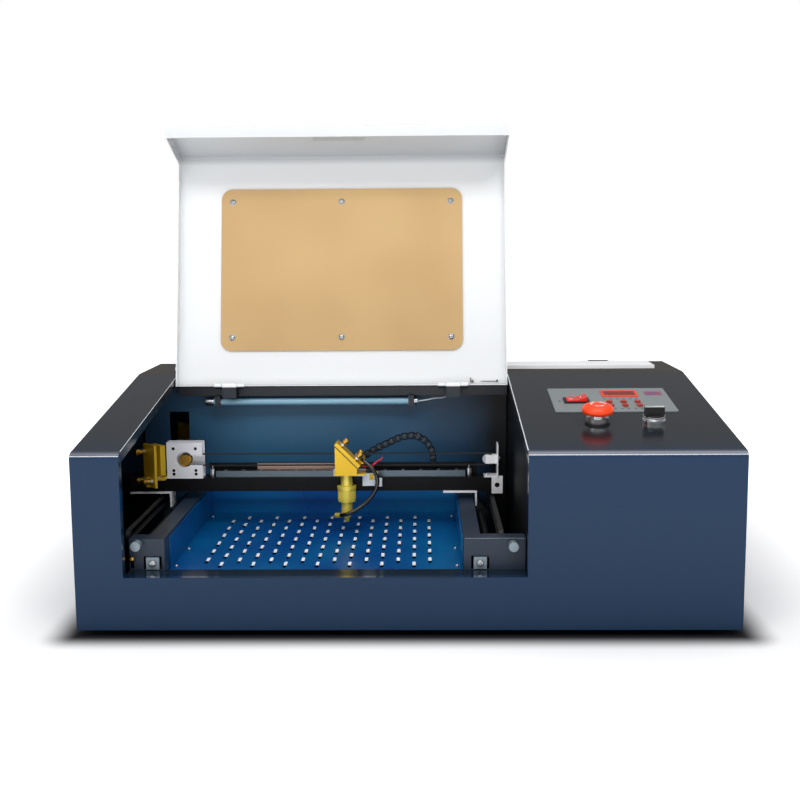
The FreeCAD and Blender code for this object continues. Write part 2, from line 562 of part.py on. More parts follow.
def make_head():
    low = "head_z"
    prism = slab("XZ_Plane", [
        ("-head_l", low), ("-head_l + head_w", low), ("-head_l + head_w", f"{low} + 11"),
        ("-head_l", f"{low} + 11 + head_w"),
    ], 28, y="nozzle_y")
    plate = slab("XZ_Plane", [
        ("-head_l - 1", f"{low} + 12 + head_w"), ("-head_l + head_w + 1", f"{low} + 10"),
        ("-head_l + head_w + 5", f"{low} + 14"), ("-head_l + 3", f"{low} + 16 + head_w"),
    ], 28, y="nozzle_y")
    screws = []
    for number, y in ((3, -9), (22, -9), (22, 9)):
        pin = rod("z", 0, 0, 0, 2, 14, world=False)
        knob = rod("z", 0, 0, 8, 3.6, 7, world=False)
        screw = fuse(pin, knob)
        screw.Placement.Rotation = FreeCAD.Rotation(V(0, 1, 0), 45)
        screws.append(place(screw, f"-head_l + 4 + {number}", f"nozzle_y + {y}",
                            f"{low} + 12 + head_w - {number}"))
    arm = box("-head_l + head_w - 4", "nozzle_y + 12", f"{low} + 11.5", 14, 29, 8.5)
    room = box("-head_l - 20", "beam_y - 8.5", f"{low} - 10", 80, 40, 15)
    bore = rod("z", "-head_x", "nozzle_y", f"{low} - 5", "lens_rad + run_fit", 21)
    ledge = box("-head_l - 2", "nozzle_y - 10", low, "head_w + 14", 16, 2)
    keep("head_body", cut(fuse(prism, plate, *screws, arm, ledge), room, bore))

    carriage = cut(
        box("-head_l - 4", "beam_y - 3.5", "beam_top + 3", 45, 25.5, 9.8),
        box("-head_l - 10", "beam_y + 4 - gap", "beam_top - 5", 60, "rail_w + 2*gap",
            "5 + rail_t + gap"))
    nose = cut(box("-head_l - 2", "beam_y - 8.5", "beam_top + 4.5", 30, 5.5, 7),
               rod("z", "-head_x", "nozzle_y", "beam_top", "lens_rad + gap", 20))
    keep("x_carriage", fuse(carriage, nose))

    rings = [
        rod("z", "-head_x", "nozzle_y", "head_z - 38", 12.2, 21),
        rod("z", "-head_x", "nozzle_y", "head_z - 54", "lens_rad - 0.4", 66),
        rod("z", "-head_x", "nozzle_y", "head_z - 67", 2.5, 13.2, top="lens_rad - 0.4"),
        rod("z", "-head_x", "nozzle_y", "head_z - 17", "lens_rad", 28),
    ]
    light_path = rod("z", "-head_x", "nozzle_y", "head_z - 73", 1.5, 100)
    stub = rod("x", "-head_x - 14", "air_y", "air_z", 2.6, 13)
    corner = doc.addObject("Part::Sphere", "ball")
    bind(corner, Radius=3.6)
    place(corner, "-head_x - 14.5", "air_y", "air_z")
    elbow = rod("z", 0, 0, 0, 3.3, 10, world=False)
    elbow.Placement.Rotation = FreeCAD.Rotation(V(0, 0, 1), V(0.622, -0.762, 0.18))
    place(elbow, "-head_x - 14.5", "air_y", "air_z")
    keep("lens_tube", cut(fuse(*rings, stub, fuse(corner, elbow)), light_path))

    switch = fuse(box(-65, "beam_y - 14", "head_z - 17", 17, 5.5, 17),
                  box(-44, "beam_y - 14", "head_z - 18", 6, 5.5, 11))
    keep("limit_switch", fuse(switch, box(-50, "beam_y - 11", "head_z - 15", 8, 2.5, 5),
                              box(-66, "beam_y - 14", "head_z - 4", 5, 7, 4)))

    # the hose's route from the fitting on the head down to the elbow, measured from the head's underside
    route = [V(-66, 0, 21), V(-56, -6, 14), V(-46, -9, 3), V(-43, -10, -10), V(-48, -11, -25),
             V(-58, -12, -37), V(-71, -15, -47), V(-88.13, -17.38, -54.63), V(-95.28, -8.62, -56.7)]
    feature("air_hose", hose(route, 2.8), 0, "nozzle_y", "head_z")

    chain = slab("XZ_Plane", [
        (-61.6, 23), (-46, 31), (-30, 38), (-12, 47.5), (4, 51.5), (15, 48), (24.5, 40), (28.5, 30),
        (28, 17.5), (38.5, 17.5), (39, 31), (34, 45.5), (21, 58), (5, 62.5), (-16, 59.5), (-36, 49.5),
        (-52, 44), (-61.6, 34),
    ], 12, y="beam_y + 20", z="beam_top")
    keep("drag_chain", chain)


# --- controls: own y runs up the slope ------------------------------------------------------------
BUTTONS = [(column, row) for row in (1, 2) for column in (0, 1, 2)]


def make_controls():
    plate = slab("XY_Plane", [
        ("label_x", "label_s"), ("label_x + label_w", "label_s"),
        ("label_x + label_w", "label_s + label_len"), ("label_x", "label_s + label_len"),
    ], "label_t", z="label_t/2", world=False, rounds=[((0, 1, 2, 3), 3)])
    holes, caps = [], []
    for column, row in BUTTONS:
        x, s = f"button_x + button_gap*{column}", f"button_s{row}"
        holes.append(rod("z", x, s, -1, "button_rad + gap", 5, world=False))
        cap = rod("z", x, s, -3, "button_rad", 6.5, world=False)
        caps.append(cap)
    holes.append(box("button_x - 5", "button_s2 + 26.3", -1, 48, 26.3, 5, world=False))
    holes.append(box("rocker_x - 17.2", "rocker_s - 12.2", -1, 34.4, 24.4, 5, world=False))
    display = box("button_x - 4.9", "button_s2 + 26.4", -3, 47.8, 26.1, 5.2, world=False)
    keep("control_label", on_slope(group(cut(plate, *holes), display)))
    for (column, row), cap in zip(BUTTONS, caps):
        keep(f"button_{column + 1 + 3 * (row - 1)}", on_slope(group(cap)))

    base = cut(
        fuse(rod("z", "stop_x", "stop_s", 0.05, 15.5, 2.5, world=False),
             rod("z", "stop_x", "stop_s", 2, 14, 6, world=False),
             rod("z", "stop_x", "stop_s", -30, 10.8, 31, world=False)),
        rod("z", "stop_x", "stop_s", -24, "7.5 + gap", 40, world=False))
    keep("estop_base", on_slope(group(base)))
    keep("estop_stem", on_slope(group(rod("z", "stop_x", "stop_s", -10, 7.5, 29, world=False))))
    cap = cut(
        fuse(rod("z", "stop_x", "stop_s", 14, 17, 4, world=False, top=20),
             rod("z", "stop_x", "stop_s", 18, 20, 6, world=False),
             rod("z", "stop_x", "stop_s", 24, 20, 5, world=False, top=14)),
        rod("z", "stop_x", "stop_s", 13, "7.5 + run_fit", 6.3, world=False))
    keep("estop_cap", on_slope(group(cap)))

    dial_base = cut(
        fuse(rod("z", "dial_x", "dial_s", 0.05, 14.5, 4, world=False),
             rod("z", "dial_x", "dial_s", -26, 10.8, 27, world=False)),
        rod("z", "dial_x", "dial_s", -20, "6 + gap", 40, world=False))
    keep("selector_base", on_slope(group(dial_base)))
    knob = fuse(rod("z", "dial_x", "dial_s", 4.4, 11, 6, world=False, top=10.5),
                rod("z", "dial_x", "dial_s", -8, 6, 13, world=False),
                box("dial_x - 12.5", "dial_s - 3.5", 9, 25, 7, 11, world=False))
    keep("selector_knob", on_slope(group(knob)))

    frame = cut(
        fuse(box("rocker_x - 17", "rocker_s - 12", "label_t", 34, 24, 2, world=False),
             box("rocker_x - 14.7", "rocker_s - 10.7", -16, 29.4, 21.4, 18, world=False)),
        box("rocker_x - 14", "rocker_s - 9.3", -14, 28, 18.6, 30, world=False))
    pin = rod("y", "rocker_x", "rocker_s - 10", "label_t", "rocker_pin", 20, world=False)
    keep("rocker_frame", on_slope(group(fuse(frame, pin))))
    key = slab("XZ_Plane", [(-13, -2.5), (12.7, -2.5), (12.9, 7.5), (0, 3.4), (-13.5, 2.9)], 18,
               x="rocker_x", y="rocker_s", z="label_t", world=False)
    bore = rod("y", "rocker_x", "rocker_s - 12", "label_t", "rocker_pin + run_fit", 24, world=False)
    keep("rocker_key", on_slope(group(cut(key, bore))))


# --- inside the bays and on the back --------------------------------------------------------------
def make_inside():
    axis_z = "laser_z + 5"
    glass = cut(rod("x", -300, "tube_y", axis_z, 25, 680), rod("x", -288, "tube_y", axis_z, 22.5, 656))
    core = cut(rod("x", -300, "tube_y", axis_z, 8, 680), rod("x", -299, "tube_y", axis_z, 6, 678))
    keep("laser_tube", fuse(glass, core))
    cradles = []
    for x in (-210, 270):
        cradles.append(cut(box(x, "tube_y - 32", "sheet", 18, 64, "laser_z + 24"),
                           rod("x", f"{x} - 1", "tube_y", axis_z, 25.2, 20),
                           box(f"{x} - 1", "tube_y - 24", "sheet + 8", 20, 48, 90)))
    keep("tube_cradles", group(*cradles))
    glass_plate = fuse(box(-14, 0, 0, 28, 4, 50, world=False), rod("y", 0, -6, 25, 10, 7, world=False))
    glass_plate.Placement.Rotation = FreeCAD.Rotation(V(0, 0, 1), 135)
    place(glass_plate, "mirror_x + 12", "tube_y + 3", "laser_z - 25")
    keep("corner_mirror", fuse(glass_plate, box("mirror_x + 4", "tube_y - 2", "sheet", 16, 12,
                                                "laser_z - 24")))
    supply = cut(box(250, 140, "sheet", 110, 200, 80), box(262, 138, 60, 86, 4, 16))
    board = box(165, 40, 10, 70, 100, 1.6)
    chips = [box(175, 50, 11.5, 24, 20, 9), box(175, 90, 11.5, 24, 20, 9), box(210, 60, 11.5, 14, 14, 3)]
    posts = [rod("z", x, y, "sheet", 3, 8.6) for x in (170, 230) for y in (45, 135)]
    keep("electronics", group(supply, fuse(board, *chips, *posts)))


def make_back():
    housing = box("fan_x - fan_box/2", "case_d", "fan_z - fan_box/2", "fan_box", "fan_box_d", "fan_box")
    spigot = rod("y", "fan_x", "case_d", "fan_z", "spigot_rad", "fan_out")
    inside = rod("y", "fan_x", "case_d - 1", "fan_z", "spigot_rad - 2", "fan_out + 2")
    spokes = []
    for number in range(3):
        turn = 90 + 120 * number
        spoke = box(0, -2, 0, "spigot_rad - 1", 4, 2.5, world=False)
        spoke.Placement.Rotation = FreeCAD.Rotation(V(0, 0, 1), turn)
        spokes.append(spoke)
    cross = fuse(*spokes, rod("z", 0, 0, 0, 13, 5, world=False))
    cross.Placement.Rotation = TURNS["y"]
    place(cross, "fan_x", "case_d + 1", "fan_z")
    keep("fan_housing", fuse(cut(fuse(housing, spigot), inside), cross))
    blades = [rod("z", 0, 0, 0, 14, 16, world=False)]
    for number in range(7):
        holder = box(12.5, -1, -7, "spigot_rad - 17.5", 2, 14, world=False)
        holder.Placement.Rotation = FreeCAD.Rotation(V(1, 0, 0), 50)
        blade = group(holder)
        blade.Placement = FreeCAD.Placement(V(0, 0, 8), FreeCAD.Rotation(V(0, 0, 1), 360 * number / 7))
        blades.append(blade)
    wheel = fuse(*blades)
    wheel.Placement.Rotation = TURNS["y"]
    keep("fan_impeller", place(wheel, "fan_x", "case_d + 10", "fan_z"))
    nipples = []
    for x in WATER:
        nipples.append(cut(
            fuse(rod("y", x, "case_d - 8", "water_z", 4.4, 12), rod("y", x, "case_d", "water_z", 8, 4),
                 rod("y", x, "case_d + 4", "water_z", 4, 18)),
            rod("y", x, "case_d - 9", "water_z", 2.5, 40)))
    keep("water_fittings", group(*nipples))
    socket = cut(fuse(box("socket_x - 24", "case_d", "socket_z - 16", 48, 2.5, 32),
                      box("socket_x - 14.5", "case_d - 14", "socket_z - 11.5", 29, 15, 23)),
                 box("socket_x - 12", "case_d - 12", "socket_z - 9", 24, 20, 18))
    pins = [box(f"socket_x + {across}", "case_d - 13", f"socket_z + {up}", 2, 10, 4)
            for across, up in ((-8, -3), (6, -3), (-1, 1))]
    keep("mains_inlet", fuse(socket, *pins))


make_case()
make_bed()
make_lid()
make_hatch()
make_y_drive()
make_gantry()
make_side_mirror()
make_head()
make_controls()
make_inside()
make_back()
doc.recompute()

failed = [f"{obj.Name} ({obj.Label})" for obj in doc.Objects
          if any(word in obj.State for word in ("Invalid", "Error"))]
if failed:
    raise RuntimeError("failed: " + ", ".join(failed))
for name, obj in NODES.items():
    if obj.Shape.isNull() or not obj.Shape.isValid():
        raise RuntimeError(f"{name} has no valid shape")
os.makedirs("parts", exist_ok=True)
for name, obj in NODES.items():
    obj.Shape.exportStep(f"parts/{name}.step")
print(len(NODES), "sub-parts written")
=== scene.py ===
import bmesh
import bpy
import json
import math
from mathutils import Matrix, Vector


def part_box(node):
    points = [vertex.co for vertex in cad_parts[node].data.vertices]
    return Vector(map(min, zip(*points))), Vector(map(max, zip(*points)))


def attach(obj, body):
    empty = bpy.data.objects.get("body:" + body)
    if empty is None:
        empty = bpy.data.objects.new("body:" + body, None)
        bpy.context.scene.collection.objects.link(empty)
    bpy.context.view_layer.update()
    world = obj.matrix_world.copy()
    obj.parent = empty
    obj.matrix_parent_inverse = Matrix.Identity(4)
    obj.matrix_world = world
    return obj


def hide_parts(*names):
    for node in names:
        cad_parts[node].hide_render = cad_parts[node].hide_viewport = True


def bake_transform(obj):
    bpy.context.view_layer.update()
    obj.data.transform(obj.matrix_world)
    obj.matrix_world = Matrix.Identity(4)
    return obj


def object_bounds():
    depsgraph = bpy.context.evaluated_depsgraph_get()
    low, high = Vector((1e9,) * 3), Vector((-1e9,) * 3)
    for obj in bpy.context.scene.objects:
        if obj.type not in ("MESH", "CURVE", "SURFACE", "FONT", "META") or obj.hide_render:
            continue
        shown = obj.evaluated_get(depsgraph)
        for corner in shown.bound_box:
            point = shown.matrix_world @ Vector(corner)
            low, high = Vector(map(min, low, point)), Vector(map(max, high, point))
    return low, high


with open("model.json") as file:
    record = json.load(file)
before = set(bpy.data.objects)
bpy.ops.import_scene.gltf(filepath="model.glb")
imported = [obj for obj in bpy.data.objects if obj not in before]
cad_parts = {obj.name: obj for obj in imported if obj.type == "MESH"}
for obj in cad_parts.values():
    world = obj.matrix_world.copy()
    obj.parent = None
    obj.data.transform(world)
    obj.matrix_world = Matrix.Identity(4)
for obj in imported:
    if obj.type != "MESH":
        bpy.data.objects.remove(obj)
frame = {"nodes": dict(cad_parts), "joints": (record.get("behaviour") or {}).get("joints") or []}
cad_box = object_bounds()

# --- Studio -----------------------------------------------------------------------------------------
# The machine stands on a white floor with a painted shadow round its foot. A wide soft light hangs overhead,
# a square one stands to the left, and a long one high in front draws the bright line along the front bend.
# The camera stands 1.6 m in front of the machine's middle and looks a little down.
scene = bpy.context.scene
joints = {joint["name"]: joint for joint in frame["joints"]}


def linear(code):
    """A sRGB hex colour as the linear colour that a shader takes."""
    levels = [int(code[start:start + 2], 16) / 255 for start in (1, 3, 5)]
    curve = [level / 12.92 if level <= 0.04045 else ((level + 0.055) / 1.055) ** 2.4 for level in levels]
    return (*curve, 1.0)


def add(tree, kind, inputs=None, **settings):
    """Add a node, with its settings, its sockets' values and what is linked to them."""
    node = tree.nodes.new("ShaderNode" + kind)
    for name, value in settings.items():
        setattr(node, name, value)
    for socket, value in (inputs or {}).items():
        if isinstance(value, bpy.types.NodeSocket):
            tree.links.new(value, node.inputs[socket])
        else:
            node.inputs[socket].default_value = value
    return node


def tones(tree, level, stops, ease=False):
    """The colour of a ramp over a level, from stops of a position and a hex colour or grey level."""
    node = add(tree, "ValToRGB", {"Fac": level})
    line = node.color_ramp
    line.interpolation = "EASE" if ease else "LINEAR"
    line.elements[0].position, line.elements[-1].position = stops[0][0], stops[-1][0]
    for position, _ in stops[1:-1]:
        line.elements.new(position)
    for element, (_, tone) in zip(line.elements, stops):
        element.color = linear(tone) if isinstance(tone, str) else (tone, tone, tone, 1)
    return node.outputs["Color"]


def share(tree, place, axis, low, high):
    """How far a point lies from low to high along an axis, from 0 to 1."""
    value = add(tree, "SeparateXYZ", {"Vector": place}).outputs[axis]
    return add(tree, "MapRange", {"Value": value, "From Min": low, "From Max": high}).outputs["Result"]


camera = bpy.data.objects.new("camera", bpy.data.cameras.new("camera"))
scene.collection.objects.link(camera)
camera.data.lens = 52.1
camera.data.sensor_width = 36
camera.matrix_world = (
    Matrix.Translation((0.0177, -1.6075, 0.4736)) @ Matrix.Rotation(math.radians(1.09), 4, "Z")
    @ Matrix.Rotation(math.radians(-7.934), 4, "X") @ Matrix.Rotation(math.radians(0.414), 4, "Y")
    @ Matrix.Rotation(math.radians(90), 4, "X"))
scene.camera = camera

scene.view_settings.view_transform = "Standard"
world = bpy.data.worlds.new("studio")
scene.world = world
world.use_nodes = True
tree = world.node_tree
height = add(tree, "SeparateXYZ", {"Vector": add(tree, "TexCoord").outputs["Generated"]}).outputs["Z"]
sky = tones(tree, height, ((0.21, "#ffffff"), (0.3, "#8c8e92"), (0.62, "#96969a"), (0.95, "#e8e8ea")))
tree.links.new(sky, tree.nodes["Background"].inputs["Color"])
tree.nodes["Background"].inputs["Strength"].default_value = 1.0

for name, place, aim, wide, tall, power in (
    ("overhead", (0.2, -0.5, 2.4), (0, 0, 0.2), 2.4, 1.8, 10),
    ("left_key", (-1.9, -1.7, 1.5), (0, 0, 0.2), 1.4, 1.4, 8),
    ("front_strip", (0.0, -1.7, 2.1), (0, -0.26, 0.22), 2.8, 0.6, 34),
):
    light = bpy.data.lights.new(name, "AREA")
    light.shape = "RECTANGLE"
    light.size, light.size_y, light.energy = wide, tall, power
    lamp = bpy.data.objects.new(name, light)
    scene.collection.objects.link(lamp)
    lamp.location = place
    lamp.rotation_euler = (Vector(aim) - Vector(place)).to_track_quat("-Z", "Y").to_euler()

floor_mesh = bmesh.new()
bmesh.ops.create_grid(floor_mesh, x_segments=1, y_segments=1, size=6)
floor_data = bpy.data.meshes.new("floor")
floor_mesh.to_mesh(floor_data)
floor = bpy.data.objects.new("floor", floor_data)
scene.collection.objects.link(floor)
paper = bpy.data.materials.new("backdrop_paper")
paper.use_nodes = True
tree = paper.node_tree
surface = tree.nodes["Principled BSDF"]
surface.inputs["Roughness"].default_value = 0.9
surface.inputs["Specular IOR Level"].default_value = 0.1
surface.inputs["Emission Color"].default_value = linear("#ffffff")
spot = add(tree, "SeparateXYZ", {"Vector": add(tree, "TexCoord").outputs["Object"]})
beyond = []
for axis, half in (("X", (cad_box[1][0] - cad_box[0][0]) / 2), ("Y", (cad_box[1][1] - cad_box[0][1]) / 2)):
    distance = add(tree, "Math", {0: spot.outputs[axis]}, operation="ABSOLUTE").outputs[0]
    past = add(tree, "Math", {0: distance, 1: half}, operation="SUBTRACT").outputs[0]
    clear = add(tree, "Math", {0: past, 1: 0.0}, operation="MAXIMUM").outputs[0]
    beyond.append(add(tree, "Math", {0: clear, 1: 2.0}, operation="POWER").outputs[0])
squared = add(tree, "Math", {0: beyond[0], 1: beyond[1]}, operation="ADD").outputs[0]
away = add(tree, "Math", {0: squared, 1: 0.5}, operation="POWER").outputs[0]
# The floor's base colour darkens to near black within 5 cm of the machine's footprint: a painted contact
# shadow.
painted_shadow_wide, glow_start, glow_full, glow_strength = 0.05, 0.02, 0.5, 0.8
painted_shadow = add(tree, "MapRange", {"Value": away, "From Min": 0.0, "From Max": painted_shadow_wide},
          interpolation_type="SMOOTHSTEP")
tree.links.new(tones(tree, painted_shadow.outputs["Result"], ((0, "#1c1c1e"), (1, "#fdfdfd"))),
               surface.inputs["Base Color"])
glow = add(tree, "MapRange", {"Value": away, "From Min": glow_start, "From Max": glow_full,
                              "To Max": glow_strength}, interpolation_type="SMOOTHSTEP")
tree.links.new(glow.outputs["Result"], surface.inputs["Emission Strength"])
floor_data.materials.append(paper)

# --- Case -------------------------------------------------------------------------------------------
# Bent and welded sheet steel with a navy-grey powder coat. The coat is fine grained, dark and rather
# glossy: it flows out smooth on the slope, with the slight orange peel of baked powder. The front bend
# is glossier and the rear deck duller. The slope's graphite and the deck's brown are painted reflection
# and shade, and the black insides of the side panels, the bay and the base pan are painted shade.
slope_deep, slope_rise, case_deep = 355, 54, 500
slope_angle = math.atan2(slope_rise, slope_deep)
navy, slope_painted_reflection, deck_painted_shade = "#0d2a47", "#1e2022", "#322c26"
# Grain width and height in millimetres of baked powder, plated or machined metal, and print.
powder_peel, plate_grain, print_grain = (1.6, 0.05), (0.5, 0.02), (1.0, 0.01)


def finish(name, colour, roughness, metallic=0.0, **shader):
    """A new material and its node tree, shader and Object coordinates."""
    material = bpy.data.materials.new(name)
    material.use_nodes = True
    tree = material.node_tree
    surface = tree.nodes["Principled BSDF"]
    surface.inputs["Base Color"].default_value = linear(colour)
    surface.inputs["Roughness"].default_value = roughness
    surface.inputs["Metallic"].default_value = metallic
    for socket, value in shader.items():
        surface.inputs[socket.replace("_", " ")].default_value = value
    place = add(tree, "TexCoord").outputs["Object"]
    return material, tree, surface, place


def grain(tree, place, surface, size_mm, height_mm, spread=0.0, colours=None, stretch=None, strength=0.5):
    """Bump of a given grain size and height; spread varies the roughness and colours the base colour."""
    where = place
    if stretch:
        where = add(tree, "Mapping", {"Vector": place, "Scale": stretch}).outputs["Vector"]
    noise = add(tree, "TexNoise", {"Vector": where, "Scale": 1000 / size_mm, "Detail": 3.0})
    bump = add(tree, "Bump", {"Height": noise.outputs["Fac"], "Distance": height_mm / 1000,
                              "Strength": strength})
    tree.links.new(bump.outputs["Normal"], surface.inputs["Normal"])
    broad = add(tree, "TexNoise", {"Vector": place, "Scale": 7.0, "Detail": 1.0})
    if spread:
        middle = surface.inputs["Roughness"].default_value
        level = add(tree, "MapRange", {"Value": broad.outputs["Fac"], "From Min": 0.3, "From Max": 0.7,
                                       "To Min": middle - spread, "To Max": middle + spread})
        tree.links.new(level.outputs["Result"], surface.inputs["Roughness"])
    if colours:
        tone = tones(tree, broad.outputs["Fac"], ((0.25, colours[0]), (0.75, colours[1])), ease=True)
        tree.links.new(tone, surface.inputs["Base Color"])


case_paint, tree, surface, place = finish("navy_powder_coat", navy, 0.24, Specular_IOR_Level=0.2)
grain(tree, place, surface, *powder_peel, spread=0.03, colours=("#0b2845", "#112f4e"), strength=0.25)
top_paint, tree, surface, place = finish("graphite_navy_powder_coat", "#23282f", 0.17,
                                         Specular_IOR_Level=0.24)
grain(tree, place, surface, *powder_peel, strength=0.2)
case_low, case_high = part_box("case_shell")
depth = share(tree, place, "Y", case_low.y, case_high.y)
deck_start = slope_deep / case_deep
before_deck = deck_start - 0.001
# Across the depth the base colour runs from the navy front through darker bend tones to graphite on the slope
# and brown on the deck: painted reflection and shade.
for socket, stops in (
    ("Base Color", ((0, navy), (0.002, navy), (0.03, "#152230"), (0.12, "#1b2025"), (0.7, slope_painted_reflection),
                    (before_deck, slope_painted_reflection), (deck_start, deck_painted_shade), (1, deck_painted_shade))),
    ("Roughness", ((0, 0.34), (0.002, 0.17), (before_deck, 0.17), (deck_start, 0.62))),
    ("Coat Weight", ((0.0006, 0), (0.0015, 1), (0.014, 1), (0.019, 0))),
):
    tree.links.new(tones(tree, depth, stops), surface.inputs[socket])
surface.inputs["Coat IOR"].default_value = 2.2
surface.inputs["Coat Roughness"].default_value = 0.12
inner_paint, tree, surface, place = finish("navy_powder_coat_inside", "#2c5674", 0.4,
                                           Specular_IOR_Level=0.3)
grain(tree, place, surface, *powder_peel, spread=0.05, strength=0.3)
wall_low, wall_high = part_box("chamber_back_wall")
# The back wall's base colour darkens towards both ends and to near black at its right end: painted shade.
wall_painted_shade = tones(tree, share(tree, place, "X", wall_low.x, wall_high.x), (
    (0.04, "#1f3f5c"), (0.3, "#2f5f7e"), (0.7, "#2b5472"), (0.88, "#1c3a54"), (0.97, "#05080c")))
tree.links.new(wall_painted_shade, surface.inputs["Base Color"])
# Near-black paint on the bay wall and the base pan stands in for the shade inside the case: painted shade.
shadow_paint, tree, surface, place = finish("black_chassis_paint", "#06080b", 0.5, Specular_IOR_Level=0.2)
grain(tree, place, surface, *powder_peel, spread=0.05, strength=0.3)


def dress(material, *nodes):
    """Give CAD sub-parts their finish."""
    for node in nodes:
        data = frame["nodes"][node].data
        data.materials.clear()
        data.materials.append(material)


side_paint, tree, surface, place = finish("navy_coat_with_bare_inside", navy, 0.24,
                                          Specular_IOR_Level=0.2)
grain(tree, place, surface, *powder_peel, spread=0.03, strength=0.25)
across = add(tree, "SeparateXYZ", {"Vector": place}).outputs["X"]
depth = add(tree, "Math", {0: across}, operation="ABSOLUTE").outputs[0]
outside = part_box("side_panel_right")[1].x
# Faces more than a millimetre inside the outer skin are painted near black: painted shade.
skin = add(tree, "MapRange", {"Value": depth, "From Min": outside - 0.001, "From Max": outside - 0.0004})
tree.links.new(tones(tree, skin.outputs["Result"], ((0, "#04060a"), (1, navy))), surface.inputs["Base Color"])
dress(side_paint, "side_panel_left", "side_panel_right")
channel_paint, tree, surface, place = finish("grey_powder_coat", "#232f3f", 0.36, Specular_IOR_Level=0.3)
grain(tree, place, surface, *powder_peel, spread=0.05, strength=0.3)
dress(channel_paint, "channel_left", "channel_right")
dress(case_paint, "back_panel")
dress(top_paint, "case_shell")
dress(inner_paint, "chamber_back_wall")
dress(shadow_paint, "bay_wall", "base_pan")


def placed(name, data, body, material):
    """Make a mesh a named object with its finish, which rides on a body if one is given."""
    data.materials.append(material)
    made = bpy.data.objects.new(name, data)
    scene.collection.objects.link(made)
    if body:
        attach(made, body)
    return made


def piece(name, mesh, body, material, smooth=35):
    """Close a bmesh up and make it a named object that rides on a body."""
    bmesh.ops.remove_doubles(mesh, verts=mesh.verts, dist=1e-6)
    bmesh.ops.dissolve_degenerate(mesh, edges=mesh.edges, dist=1e-6)
    bmesh.ops.recalc_face_normals(mesh, faces=mesh.faces)
    data = bpy.data.meshes.new(name)
    mesh.to_mesh(data)
    mesh.free()
    for face in data.polygons:
        face.use_smooth = True
    data.set_sharp_from_angle(angle=math.radians(smooth))
    return placed(name, data, body, material)


def facing(spot, along):
    """The frame at a spot whose Z axis points in a direction."""
    turn = Vector((0, 0, 1)).rotation_difference(Vector(along).normalized())
    return Matrix.Translation(spot) @ turn.to_matrix().to_4x4()


def lathe(mesh, outline, spot, along, steps=20):
    """Spin an outline of (radius, height) points about a line that leaves a spot in a direction."""
    where = facing(spot, along)
    points = [mesh.verts.new(where @ Vector((radius, 0, height))) for radius, height in outline]
    lines = [mesh.edges.new(pair) for pair in zip(points, points[1:])]
    bmesh.ops.spin(mesh, geom=points + lines, cent=Vector(spot), axis=Vector(along).normalized(),
                   angle=2 * math.pi, steps=steps, use_merge=True)


def block(mesh, low, high, soft=0.0005, where=Matrix(), segments=2):
    """A block between two corners with its edges rounded off."""
    low, high = Vector(low), Vector(high)
    size = high - low
    made = bmesh.ops.create_cube(mesh, size=1, matrix=where @ Matrix.Translation((low + high) / 2)
                                 @ Matrix.Diagonal((*size, 1)))
    edges = {edge for vert in made["verts"] for edge in vert.link_edges}
    if soft:
        bmesh.ops.bevel(mesh, geom=list(edges), offset=soft, segments=segments, affect="EDGES", profile=0.5,
                        material=-1)


def screw(mesh, spot, out, radius=0.003, height=0.0018):
    """A pan head with a cross recess, standing on a surface and facing out of it."""
    lathe(mesh, [(radius, 0), (radius, height * 0.4), (radius * 0.8, height * 0.85),
                 (radius * 0.45, height), (radius * 0.3, height * 0.5), (0, height * 0.4)], spot, out, 14)
    turn = facing(spot, out)
    for quarter in (0.4, 0.4 + math.pi / 2):
        slot = turn @ Matrix.Rotation(quarter, 4, "Z")
        block(mesh, (-radius * 0.55, -radius * 0.1, height * 0.35),
              (radius * 0.55, radius * 0.1, height * 0.62), 0, slot)


def knurl(mesh, where, count, low, high):
    """A ring of small ridges round a frame's Z axis."""
    for number in range(count):
        ridge = where @ Matrix.Rotation(2 * math.pi * number / count, 4, "Z")
        block(mesh, low, high, 0.0002, ridge, 1)


def swept(name, spots, radius=0.0, round_steps=0, line_steps=12, caps=False):
    """A smooth line through a route, with a round section where it has a radius, made a mesh."""
    curve = bpy.data.curves.new(name, "CURVE")
    curve.dimensions = "3D"
    curve.bevel_depth, curve.bevel_resolution, curve.resolution_u = radius, round_steps, line_steps
    curve.use_fill_caps = caps
    spline = curve.splines.new("NURBS")
    spline.points.add(len(spots) - 1)
    for point, spot in zip(spline.points, spots):
        point.co = (*spot, 1)
    spline.order_u = 3
    spline.use_endpoint_u = True
    holder = bpy.data.objects.new(name + "_path", curve)
    scene.collection.objects.link(holder)
    data = bpy.data.meshes.new_from_object(holder)
    bpy.data.objects.remove(holder)
    return data


front, under = case_low.y, case_low.z


def at(x, y, z):
    """A machine position in millimetres: from the middle, the front face and the case's underside."""
    return Vector((x / 1000, front + y / 1000, under + z / 1000))


zinc, tree, surface, place = finish("zinc_plated_steel", "#b9bcbf", 0.32, 1.0)
grain(tree, place, surface, *plate_grain, spread=0.08)
mesh = bmesh.new()
for x, z in ((-300, 20), (300, 20), (-300, 255), (300, 255), (0, 255), (-385, 135), (385, 135)):
    screw(mesh, at(x, 500, z), (0, 1, 0))
piece("back_screws", mesh, "case", zinc)
mesh = bmesh.new()
for y, z in ((60, 40), (440, 40), (440, 225), (60, 180), (250, 210)):
    screw(mesh, at(399.8, y, z), (1, 0, 0), 0.003, 0.0002)
    screw(mesh, at(-399.8, y, z), (-1, 0, 0), 0.003, 0.0002)
piece("side_screws", mesh, "case", zinc)
